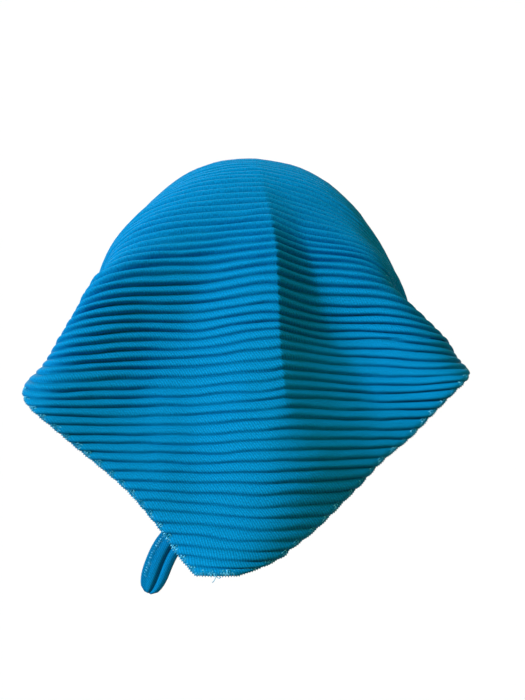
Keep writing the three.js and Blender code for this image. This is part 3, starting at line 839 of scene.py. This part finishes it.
def section_curve(tree, phase, section):
    """Height of a pleat, from 0 in its groove to 1 on its crest."""
    node = add_node(tree, "ShaderNodeFloatCurve", {"Value": phase})
    line = node.mapping.curves[0]
    for place, height in section[1:-1]:
        line.points.new(place, height)
    for point, (place, height) in zip(line.points, section):
        point.location = (place, height)
    node.mapping.update()
    return node.outputs["Value"]


def make_pleat_tree():
    tree, given, out = new_tree("raise_pleats", {"Depth": "Float", "Finish": "Material"})
    phase = math_node(tree, "FRACT", read_attribute(tree, "pleat"))
    rib = add_node(tree, "ShaderNodeMix", {
        0: read_attribute(tree, "pressed"), 2: section_curve(tree, phase, ROUND_SECTION),
        3: section_curve(tree, phase, PRESSED_SECTION)}, data_type="FLOAT").outputs[0]
    height = math_node(tree, "MULTIPLY", math_node(tree, "SUBTRACT", rib, 0.5), given["Depth"])
    height = math_node(tree, "MULTIPLY", height, read_attribute(tree, "pleat_depth"))
    normal = add_node(tree, "GeometryNodeInputNormal").outputs["Normal"]
    raised = add_node(tree, "ShaderNodeVectorMath", {0: normal, "Scale": height}, operation="SCALE")
    # The rib's height is kept for the finish, where it sets the painted groove shade and crest highlight.
    kept = add_node(tree, "GeometryNodeStoreNamedAttribute", {
        "Geometry": given["Geometry"], "Name": "rib", "Value": rib}, data_type="FLOAT")
    moved = add_node(tree, "GeometryNodeSetPosition", {
        "Geometry": kept.outputs["Geometry"], "Offset": raised.outputs["Vector"]})
    finish_tree(tree, moved.outputs["Geometry"], given["Finish"], out)
    return tree


add_tree(pleated_cloth, make_pleat_tree(), {"Depth": PLEAT_DEPTH * MM, "Finish": cloth_finish})
keep_result(pleated_cloth)
print("pleats raised, points:", len(pleated_cloth.data.vertices))

# %% [markdown]
# ## The hem's route
#
# The two short edges of the triangle are finished with an overlock stitch. The stitches follow the
# edge over every pleat, so their route is read from the raised sheet itself: the last point of each
# row that ends on a hem, and half of the blunt point at the bottom. Each point of the route keeps the
# direction into the cloth and the direction out of its face. On the raised pleats these would swing
# with every rib, so the face is taken from the smooth sheet and both are steadied along the route.

# %% Hem routes
ROUTE_REACH = 7
ROUTE_STEP = 0.02
places = np.empty(rows * columns * 3, np.float32)
pleated_cloth.data.vertices.foreach_get("co", places)
pleated_points = places.reshape(rows, columns, 3).astype(float) / MM


def steadied(values):
    """Values averaged over a few neighbours each way along a route."""
    padded = np.pad(values, ((ROUTE_REACH, ROUTE_REACH), (0, 0)), mode="edge")
    return np.mean([padded[k:k + len(values)] for k in range(2 * ROUTE_REACH + 1)], axis=0)


def hem_route(side):
    """Points, inward and outward directions of one hem, from the middle of the tip up to the tie."""
    end = 0 if side < 0 else -1
    spots = [(rows - 1, COLUMNS_LEFT + side * k) for k in range(COLUMNS_LEFT)]
    spots += [(i, end) for i in range(rows - 1, -1, -1) if on_hem[i, end]]
    points = np.array([pleated_points[spot] for spot in spots])
    faces = np.array([outward[spot] for spot in spots])
    apart = np.linalg.norm(np.diff(points, axis=0), axis=1) > ROUTE_STEP
    kept = np.concatenate([[True], apart])
    points, faces = points[kept], steadied(faces[kept])
    ahead = unit(steadied(unit(np.gradient(points, axis=0))))
    into = side * unit(np.cross(faces, ahead))
    return points, into, unit(faces - into * (faces * into).sum(axis=1)[:, None])


left_route, right_route = hem_route(-1), hem_route(1)
for route in (left_route, right_route):
    print("hem length, mm:", round(running_length(route[0])[-1]))

# %% [markdown]
# ## The thread's finish
#
# Overlock thread is a loose, slightly shiny polyester yarn in the colour of the cloth, a little paler
# because the filaments catch the light. One plain colour would draw it as wire, so a fine noise paints
# pale glints on it in places, a painted highlight, and a fast wave along the thread gives its twist.

# %% Thread material
THREAD_DYE = (0.003, 0.26, 0.5, 1)
# Painted highlight: the pale colour of the glints on the thread.
THREAD_GLINT = (0.16, 0.7, 1, 1)
FUZZ_SCALE = 900
TWIST_SCALE = 420
TWIST_HEIGHT = 0.1
GLINT_FUZZ = (0.5, 0.62, 0, 0.95)
FUZZ_ROUGHNESS = (0.3, 0.7, 0.38, 0.6)


def make_thread():
    material, tree, shader = new_material("overlock_thread")
    place = add_node(tree, "ShaderNodeTexCoord").outputs["Object"]
    fuzz = add_node(tree, "ShaderNodeTexNoise", {"Vector": place, "Scale": FUZZ_SCALE, "Detail": 2.0})
    twist = add_node(tree, "ShaderNodeTexWave", {
        "Vector": place, "Scale": TWIST_SCALE, "Distortion": 2.0}, bands_direction="DIAGONAL")
    # Painted highlight: the noise puts pale glints on the thread in places.
    painted_glint = add_range(tree, fuzz.outputs["Fac"], *GLINT_FUZZ)
    bump = add_node(tree, "ShaderNodeBump", {
        "Height": twist.outputs["Fac"], "Strength": 0.4, "Distance": TWIST_HEIGHT * MM})
    set_inputs(tree, shader, {
        "Base Color": add_mix(tree, "MIX", painted_glint, THREAD_DYE, THREAD_GLINT), "Normal": bump.outputs["Normal"],
        "Roughness": add_range(tree, fuzz.outputs["Fac"], *FUZZ_ROUGHNESS),
        "Specular IOR Level": 0.3, "Specular Tint": (0.3, 0.85, 1, 1)})
    return material


thread_finish = make_thread()
print("thread finish, nodes:", len(thread_finish.node_tree.nodes))

# %% [markdown]
# ## One overlock stitch
#
# Seen close, an overlock stitch is a loop: a needle thread lies along the cloth some millimetres in
# from the edge, and the looper threads run from it out over the edge and back underneath. A curve with
# a round bevel could draw it, but a tube made point by point keeps its faces few. One stitch is three
# such tubes, with its own axes: X into the cloth, Y along the edge, Z out of the face.

# %% Thin tubes
TUBE_SIDE = (0.31, 0.47, 0.83)


def ring_faces(steps, count, flip):
    """Faces of a closed band through rings of points, with its ends capped."""
    last = (steps - 1) * count
    faces = grid_faces(steps, count, closed=True)
    faces += [tuple(range(count)), tuple(range(last, last + count))[::-1]]
    return [face[::-1] for face in faces] if flip else faces


def tube(points, radius, sides):
    """Points and faces of a tube with closed ends along a line of points."""
    points = np.asarray(points, float)
    ahead = unit(np.gradient(points, axis=0))
    turns = 2 * np.pi * np.arange(sides)[:, None] / sides
    side = np.cross(ahead[0], TUBE_SIDE)
    rings = []
    for point, forward in zip(points, ahead):
        side = unit(side - forward * side.dot(forward))
        rings.append(point + radius * (np.cos(turns) * side + np.sin(turns) * np.cross(forward, side)))
    return np.vstack(rings), ring_faces(len(points), sides, flip=True)


def join_shapes(shapes):
    points, faces, first = [], [], 0
    for part, part_faces in shapes:
        points.append(part)
        faces += [tuple(first + k for k in face) for face in part_faces]
        first += len(part)
    return np.vstack(points), faces


print("tube helpers ready")

# %% Stitch shape
STITCH_PITCH = 1.45
STITCH_BITE = 2.6
THREAD_RADIUS = 0.2
THREAD_SIDES = 5


def stitch_shape():
    half = STITCH_PITCH / 2
    looper = [
        (STITCH_BITE, -half, 0.35),
        (STITCH_BITE * 0.5, -half * 0.45, 0.62),
        (0.1, -0.1, 0.42),
        (-0.45, 0, 0),
        (0.1, 0.1, -0.42),
        (STITCH_BITE * 0.5, half * 0.45, -0.62),
        (STITCH_BITE, half, -0.35),
    ]
    back = [
        (-0.25, 0.1, 0.2),
        (STITCH_BITE * 0.45, half * 0.6, 0.6),
        (STITCH_BITE, half, 0.35),
    ]
    needle = [
        (STITCH_BITE, -half, 0.1),
        (STITCH_BITE, -half * 0.5, 0.5),
        (STITCH_BITE, half * 0.5, 0.5),
        (STITCH_BITE, half, 0.1),
    ]
    return join_shapes([tube(path, THREAD_RADIUS, THREAD_SIDES) for path in (looper, back, needle)])


stitch = new_piece("stitch_pattern", *stitch_shape())
print("faces in one stitch:", len(stitch.data.polygons))

# %% [markdown]
# ## Stitching the hems with Geometry Nodes
#
# Stitches repeat along a path, so a tree lays them: it turns the route into a curve, sets points on it
# one pitch apart, and puts a stitch on each point with its X axis into the cloth and its Z axis out of
# the face. A random scale with a fixed seed keeps them from looking stamped.

# %% Tree that lays stitches
STITCH_SIZES = (0.85, 1.15)


def align(tree, axis, pivot, values):
    node = add_node(tree, "FunctionNodeAlignRotationToVector", values, axis=axis, pivot_axis=pivot)
    return node.outputs["Rotation"]


def make_stitch_tree():
    tree, given, out = new_tree("lay_stitches", {
        "Pitch": "Float", "Least": "Float", "Most": "Float", "Seed": "Int", "Stitch": "Object",
        "Finish": "Material"})
    route = add_node(tree, "GeometryNodeMeshToCurve", {"Mesh": given["Geometry"]})
    spaced = add_node(tree, "GeometryNodeResampleCurve", {
        "Curve": route.outputs["Curve"], "Length": given["Pitch"]}, mode="LENGTH")
    shape = add_node(tree, "GeometryNodeObjectInfo", {"Object": given["Stitch"]})
    size = add_node(tree, "FunctionNodeRandomValue", {
        2: given["Least"], 3: given["Most"], "Seed": given["Seed"]}, data_type="FLOAT")
    into = read_attribute(tree, "into", "FLOAT_VECTOR")
    face = read_attribute(tree, "face", "FLOAT_VECTOR")
    turned = align(tree, "X", "AUTO", {"Vector": into})
    turned = align(tree, "Z", "X", {"Vector": face, "Rotation": turned})
    laid = add_node(tree, "GeometryNodeInstanceOnPoints", {
        "Points": spaced.outputs["Curve"], "Instance": shape.outputs["Geometry"], "Rotation": turned,
        "Scale": size.outputs[1]})
    finish_tree(tree, laid.outputs["Instances"], given["Finish"], out)
    return tree


stitch_tree = make_stitch_tree()
print("stitch tree, nodes:", len(stitch_tree.nodes))

# %% Hem stitches
def sew(name, route, seed, size=1):
    """A row of stitches along a route of points with their inward and face directions."""
    points, into, faces = route
    piece = new_piece(name, points, [], [(k, k + 1) for k in range(len(points) - 1)])
    add_values(piece.data, "into", into, "FLOAT_VECTOR")
    add_values(piece.data, "face", faces, "FLOAT_VECTOR")
    add_tree(piece, stitch_tree, {
        "Pitch": STITCH_PITCH * MM, "Least": STITCH_SIZES[0] * size, "Most": STITCH_SIZES[1] * size,
        "Seed": seed, "Stitch": stitch, "Finish": thread_finish})
    return keep_result(piece)


left_stitching = sew("left_stitching", left_route, 7)
right_stitching = sew("right_stitching", right_route, 8)
for piece in (left_stitching, right_stitching):
    print(piece.name, "faces:", len(piece.data.polygons))

# %% [markdown]
# ## The sheet's thickness
#
# Now that the route of the hem is known, the single layer becomes a real sheet. A second grid of points
# could be laid below the first, but a Solidify modifier does it in one step: it gives the thickness of
# the twill on both sides of the pleated surface and closes the rim.

# %% Thickness of the cloth
CLOTH_THICKNESS = 0.45


def thicken(piece, thickness):
    wall = piece.modifiers.new("thickness", "SOLIDIFY")
    wall.thickness = thickness * MM
    wall.offset = 0
    return keep_result(piece)


thicken(pleated_cloth, CLOTH_THICKNESS)
print("pleated sheet, faces:", len(pleated_cloth.data.polygons))

# %% [markdown]
# ## The gathered ties
#
# Under the flap the pleats of each long corner crowd together and run into the knot as lengthwise folds.
# Each tie starts as the flat, slanting line on which the pleats end and grows into a round bundle. A
# curve with a bevel would keep one section, so each tie is a closed band through oval rings: their tilt,
# height and depth change from the line to the bundle, and the folds are ripples of one depth all round,
# spaced by the length of the ring.

# %% Pieces made of rings
def cloth_piece(name, points, faces, along, around, ripples):
    """A piece in the cloth's finish, smooth apart from its end caps, with its own map and ribs."""
    piece = new_piece(name, points.reshape(-1, 3), faces)
    piece.data.materials.append(cloth_finish)
    piece.data.polygons.foreach_set("use_smooth", [len(face) == 4 for face in faces])
    add_cloth_map(piece.data, along, around)
    # The ripples are kept as the rib, which sets the painted groove shade and crest highlight.
    add_values(piece.data, "rib", ripples)
    return piece


def ringed_piece(name, points, ripples, flip=False):
    """A closed band of cloth through rings of points, with its ends capped."""
    around = np.linalg.norm(np.diff(points, axis=1, append=points[:, :1]), axis=2).cumsum(axis=1)
    along = running_length(points[:, 0])[:, None]
    return cloth_piece(name, points, ring_faces(*ripples.shape, flip), along, around, ripples)


print("ring helpers ready")

# %% Gathered ties
TIE_DROP = 1.5
TIE_MIDDLE = (TIE_LOW + TIE_HIGH) / 2 + np.array([0, LIFT - TIE_DROP])
TIE_UPRIGHT = np.array([0, 30.0])
TIE_ROWS = np.arange(0, 160, 2.0)
TIE_STEPS = 30
TIE_FOLDS = 24
TIE_POINTS = 12 * TIE_FOLDS
TIE_START = 31
TIE_END = 8
TIE_LINE_DEPTH = 1.1
TIE_BUNDLE = (6.8, 5.2)
FOLD_DEPTH = (1.1, 1.15)
FOLD_NOISE = (0.55, 0.035, 0.5)
FOLD_NOISE_PLACE = 4.3
FOLD_SHIFT = 0.9
OVAL_SAMPLES = 1440


def oval(middle, long_way, high, deep):
    """Evenly spaced points of an oval and the directions out of it, in the plane of y and z."""
    across = np.array([long_way[1], -long_way[0]])
    turn = np.linspace(0, 2 * np.pi, OVAL_SAMPLES + 1)
    ring = high * np.sin(turn)[:, None] * long_way + deep * np.cos(turn)[:, None] * across
    out = deep * np.sin(turn)[:, None] * long_way + high * np.cos(turn)[:, None] * across
    length = running_length(ring)
    wanted = np.interp(np.arange(TIE_POINTS) / TIE_POINTS * length[-1], length, np.arange(len(turn)))
    spots = wanted.astype(int)
    return middle + ring[spots], unit(out[spots])


def gathered_tie(name, side):
    """A tie from the line where the pleats end to the knot."""
    last = max(at for at in TIE_ROWS if not half_row(at, side)[2])
    low, high = half_row(0, side)[0][-1, 1:], half_row(last, side)[0][-1, 1:]
    place = np.arange(TIE_POINTS) / TIE_POINTS
    points, ripples = [], []
    for t in np.linspace(0, 1, TIE_STEPS):
        mix = ease(0, 1, t)
        long_way = unit(blend(high - low, TIE_UPRIGHT, mix))
        tall = blend(np.linalg.norm(high - low) / 2, TIE_BUNDLE[0], mix)
        deep = blend(TIE_LINE_DEPTH, TIE_BUNDLE[1], mix)
        ring, out = oval(blend((low + high) / 2, TIE_MIDDLE, mix), long_way, tall, deep)
        uneven = field(((*FOLD_NOISE, FOLD_NOISE_PLACE + side),), place, np.full(TIE_POINTS, t))
        ripple = np.abs(np.cos(np.pi * TIE_FOLDS * place + FOLD_SHIFT * uneven))
        ring += out * (blend(*FOLD_DEPTH, mix) * (1 + uneven) * (ripple - RIPPLE_MEAN))[:, None]
        points.append(np.column_stack([np.full(TIE_POINTS, side * blend(TIE_START, TIE_END, t)), ring]))
        ripples.append(ripple)
    return ringed_piece(name, np.array(points), np.array(ripples), flip=side > 0)


left_gather = gathered_tie("left_gather", -1)
right_gather = gathered_tie("right_gather", 1)
print("gathered ties:", left_gather.name, right_gather.name)

# %% [markdown]
# ## The knot
#
# Tied cloth shows three strands that pass over and under each other. A cloth simulation could pull a
# knot tight, but hardly the same way twice. The simplest line that passes over and under is a trefoil,
# so the knot is an oval tube along one, so small that its strands touch. Its ripples run along the
# tube, as the gathered pleats do.

# %% Knot
KNOT_STEPS = 150
KNOT_POINTS = 84
KNOT_FOLDS = 14
KNOT_REACH = 7.6
KNOT_RISE = 8.0
KNOT_DEPTH = 4.2
KNOT_HALF = (3.6, 3.3)
KNOT_TWIST = 3
KNOT_RIPPLE = 0.17
KNOT_NOISE = ((0.5, 0.6, 0.8, 8.2),)
KNOT_CLOTH = (12, 3.5)


def make_knot():
    t = 2 * np.pi * np.arange(KNOT_STEPS)[:, None] / KNOT_STEPS
    turn = 2 * np.pi * np.arange(KNOT_POINTS) / KNOT_POINTS
    line = np.hstack([
        KNOT_REACH * (np.sin(t) + 2 * np.sin(2 * t)) / 3,
        TIE_MIDDLE[0] + KNOT_DEPTH * np.sin(3 * t),
        TIE_MIDDLE[1] + KNOT_RISE * (np.cos(t) - 2 * np.cos(2 * t)) / 3])
    ahead = unit(np.roll(line, -1, axis=0) - np.roll(line, 1, axis=0))
    flat = unit(np.cross(ahead, [0, 1, 0]))
    deep = np.cross(flat, ahead)
    phase = KNOT_FOLDS / 2 * turn + KNOT_TWIST * t
    ripple = np.abs(np.cos(phase))
    uneven = field(KNOT_NOISE, np.cos(phase), 3 * np.sin(t) + 0 * phase)
    swell = 1 + KNOT_RIPPLE * (1 + uneven) * (ripple - RIPPLE_MEAN)
    wide = KNOT_HALF[0] * swell * np.cos(turn)
    thick = KNOT_HALF[1] * swell * np.sin(turn)
    points = line[:, None] + wide[..., None] * flat[:, None] + thick[..., None] * deep[:, None]
    faces = grid_faces(KNOT_STEPS, KNOT_POINTS, closed=True, looped=True)
    return cloth_piece("wrapped_knot", points, faces, KNOT_CLOTH[0] * t, KNOT_CLOTH[1] * turn, ripple)


knot = make_knot()
print("knot, faces:", len(knot.data.polygons))

# %% [markdown]
# ## The loose ends
#
# Below the knot the tips of the two corners hang free. Each is the narrow end of the triangle: a strip
# with the stitched hem down one side and two pleats beside it, and it starts inside the knot. A flat
# strip with a bump would not show its edge, so a cross-section, drawn as a table, is carried along a
# smooth line. The left end shows beside the flap, so its hem gets a row of small stitches as well.

# %% Tail tables
# Columns: x, y, z, half the width
LEFT_TAIL = [
    (-1, -73, -151, 3.4), (-5, -74.5, -161, 5), (-20, -83, -168, 6.5), (-44, -93, -184, 7.6),
    (-56.5, -100, -211, 7.4),
]
RIGHT_TAIL = [(3, -70, -151, 3.4), (6, -77, -159, 5), (7, -96, -167, 6.5), (8, -122, -173, 8)]
# Columns: place across the strip, height as a share of half the thickness
TAIL_SECTION = [
    (-1, 0), (-0.93, 0.6), (-0.66, 1), (-0.44, 0.85), (-0.34, 0.3), (-0.28, 0.05), (-0.2, 0.55),
    (0, 1), (0.22, 0.98), (0.38, 0.8), (0.46, 0.66), (0.56, 0.6), (0.9, 0.42), (1, 0),
]
print("stops along the tails:", len(LEFT_TAIL), len(RIGHT_TAIL))

# %% Tails
TAIL_THICKNESS = 3.4
TAIL_UNDER = 0.45
TAIL_ROUND = 0.11
TAIL_TIP = 0.3
TAIL_STEPS = 56
TAIL_SIDE = 41
TAIL_FACING = np.array([0, -1, 0.3])
STRIP_FROM = 26
STRIP_TO = -4
STRIP_STITCH = 0.85
STRIP_INSET = 1.6
STRIP_HEIGHT = 0.15


def tail_frames(stops):
    """The middle line of a loose end, its directions and half its width."""
    keyed = [(k / (len(stops) - 1),) + stop for k, stop in enumerate(stops)]
    steps = np.linspace(0, 1, TAIL_STEPS)
    line = read_rows(keyed, steps)[:, 1:]
    middle = line[:, :3] + np.array([0, 0, LIFT])
    ahead = unit(np.gradient(middle, axis=0))
    across = unit(np.cross(ahead, TAIL_FACING))
    to_tip = np.minimum((1 - steps) / TAIL_ROUND, 1)
    rounded = blend(TAIL_TIP, 1, np.sqrt(1 - (1 - to_tip) ** 2))
    return middle, across, np.cross(across, ahead), line[:, 3] * rounded, rounded


def tail(name, stops):
    """A loose end as a closed strip."""
    middle, across, face, half, rounded = tail_frames(stops)
    place = np.cos(np.linspace(0, np.pi, TAIL_SIDE))
    height = np.interp(place, *np.transpose(TAIL_SECTION))
    ring = np.concatenate([place, place[-2:0:-1]])
    lift = np.concatenate([height, -TAIL_UNDER * height[-2:0:-1]]) * TAIL_THICKNESS / 2
    points = middle[:, None] + across[:, None] * (ring[None, :, None] * half[:, None, None])
    points = points + face[:, None] * (lift[None, :, None] * np.sqrt(rounded)[:, None, None])
    # The section's height is kept as the rib, which sets the painted groove shade and crest highlight.
    shine = np.concatenate([height, height[-2:0:-1]])
    return ringed_piece(name, points, np.repeat(shine[None], TAIL_STEPS, axis=0))


def strip_route(stops):
    """The route of the stitches down the hem of a loose end."""
    middle, across, face, half, _ = tail_frames(stops)
    edge = middle + across * (half - STRIP_INSET)[:, None] + face * STRIP_HEIGHT * TAIL_THICKNESS
    return edge[STRIP_FROM:STRIP_TO], -across[STRIP_FROM:STRIP_TO], face[STRIP_FROM:STRIP_TO]


left_end = tail("left_end", LEFT_TAIL)
right_end = tail("right_end", RIGHT_TAIL)
left_end_stitching = sew("left_end_stitching", strip_route(LEFT_TAIL), 9, STRIP_STITCH)
print("loose ends:", left_end.name, right_end.name, left_end_stitching.name)

# %% [markdown]
# ## A loose thread
#
# Where the two rows of overlock stitching meet at the tip, a short end of thread was left uncut. A curve
# object would need converting, so it is two thin tubes along lines of a few points, as in the stitches.

# %% Loose thread
THREAD_END_X = -18
THREAD_STRANDS = (
    [(0, 0, 0.6), (0.3, -0.5, -0.8), (-0.2, -0.6, -2.0), (-1.2, -0.5, -3.4)],
    [(0.5, 0, 0.6), (1.1, -0.5, -0.5), (2.4, -0.7, -0.9), (3.1, -0.4, -0.3)],
)


def make_loose_thread():
    edge = pleated_points[rows - 1]
    start = edge[np.abs(edge[:, 0] - THREAD_END_X).argmin()]
    strands = [tube(start + np.array(strand), THREAD_RADIUS, THREAD_SIDES) for strand in THREAD_STRANDS]
    piece = new_piece("loose_thread", *join_shapes(strands))
    piece.data.materials.append(thread_finish)
    return piece


loose_thread = make_loose_thread()
print("loose thread, faces:", len(loose_thread.data.polygons))

# %% [markdown]
# ## The floor
#
# A plain pale floor lies far below the scarf. A curved backdrop would do as well, but a large flat
# floor is one face and looks the same from all round. It is seen, but it is left out of the bounced
# light, so that no white glow comes up under the flap.

# %% Floor
FLOOR_DROP = 900
FLOOR_HALF = 40000
FLOOR_COLOUR = (0.9, 0.885, 1, 1)


def make_floor(level):
    corners = [(x * FLOOR_HALF, y * FLOOR_HALF, level) for x, y in ((-1, -1), (1, -1), (1, 1), (-1, 1))]
    floor = new_piece("floor", corners, [(0, 1, 2, 3)])
    material, tree, shader = new_material("pale_floor")
    set_inputs(tree, shader, {"Base Color": FLOOR_COLOUR, "Roughness": 0.9})
    floor.data.materials.append(material)
    floor.visible_diffuse = False
    return floor


floor_level = CAD_BOX[0][2] / MM - FLOOR_DROP
make_floor(floor_level)
print("floor level, mm:", round(floor_level, 1))

# %% [markdown]
# ## Light
#
# The key lamp stands high on the left and shades the right flank of the fold. A soft fill from above
# lights the crests in that shade, a weak lamp on the right keeps it from going black, and one in front
# lights the side that is turned away. Area lamps would fall off over the floor and show their edges, so
# all four are suns, each as soft as the angle it takes up. The world adds a little even light.

# %% Lamps
# Columns: name, where it stands, the angle it takes up in degrees, strength and colour
LAMPS = (
    ("key_lamp", (-0.76, -0.36, 0.54), 16, 4, (0.97, 0.92, 1)),
    ("fill_lamp", (0, -0.4, 0.92), 40, 0.9, (0.8, 1, 0.6)),
    ("side_lamp", (0.95, -0.3, 0.1), 40, 0.3, (0.8, 1, 0.5)),
    ("front_lamp", (-0.1, 0.95, 0.2), 50, 1.3, (0.95, 1, 0.8)),
)


def add_sun(name, direction, softness, strength, colour):
    data = bpy.data.lights.new(name, "SUN")
    data.angle = math.radians(softness)
    data.energy = strength
    data.color = colour
    lamp = new_object(name, data)
    lamp.location = direction
    lamp.rotation_euler = (-Vector(direction)).to_track_quat("-Z", "Y").to_euler()


for lamp in LAMPS:
    add_sun(*lamp)
print("lamps:", [lamp.name for lamp in bpy.data.lights])

# %% Surroundings
EVEN_STRENGTH = 0.15
EVEN_COLOUR = (0.95, 1, 0.56, 1)
BACKGROUND = (0.96, 0.96, 0.96, 1)


def make_surroundings():
    """An even pale light from all round, and a white background behind the floor's edge."""
    world = bpy.data.worlds.new("pale_surroundings")
    world.use_nodes = True
    tree = world.node_tree
    soft = tree.nodes["Background"]
    set_inputs(tree, soft, {"Color": EVEN_COLOUR, "Strength": EVEN_STRENGTH})
    plain = add_node(tree, "ShaderNodeBackground", {"Color": BACKGROUND})
    path = add_node(tree, "ShaderNodeLightPath")
    mix = add_node(tree, "ShaderNodeMixShader", {
        "Fac": path.outputs["Is Camera Ray"], 1: soft.outputs["Background"], 2: plain.outputs["Background"]})
    set_inputs(tree, tree.nodes["World Output"], {"Surface": mix.outputs["Shader"]})
    return world


bpy.context.scene.world = make_surroundings()
bpy.context.scene.view_settings.view_transform = "Standard"
print("surroundings:", bpy.context.scene.world.name)

# %% [markdown]
# ## The pieces and their bodies
#
# Each piece rides on the root body, and the solid of the imported model that it stands for is hidden.
# The table also lists a slot for each piece.

# %% Pieces and what they stand for
bpy.data.objects.remove(stitch)
# Columns: piece, the solid that it stands for, and its slot
PIECES = (
    (pleated_cloth, "pleated_cloth", "cloth"),
    (left_stitching, "left_hem", "hem_thread"),
    (right_stitching, "right_hem", "hem_thread"),
    (left_gather, "left_tie", "cloth"),
    (right_gather, "right_tie", "cloth"),
    (knot, "knot", "cloth"),
    (left_end, "left_tail", "cloth"),
    (right_end, "right_tail", "cloth"),
    (left_end_stitching, None, "hem_thread"),
    (loose_thread, None, "hem_thread"),
)
for piece, node, slot in PIECES:
    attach(piece, "root")
    if node:
        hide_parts(node)
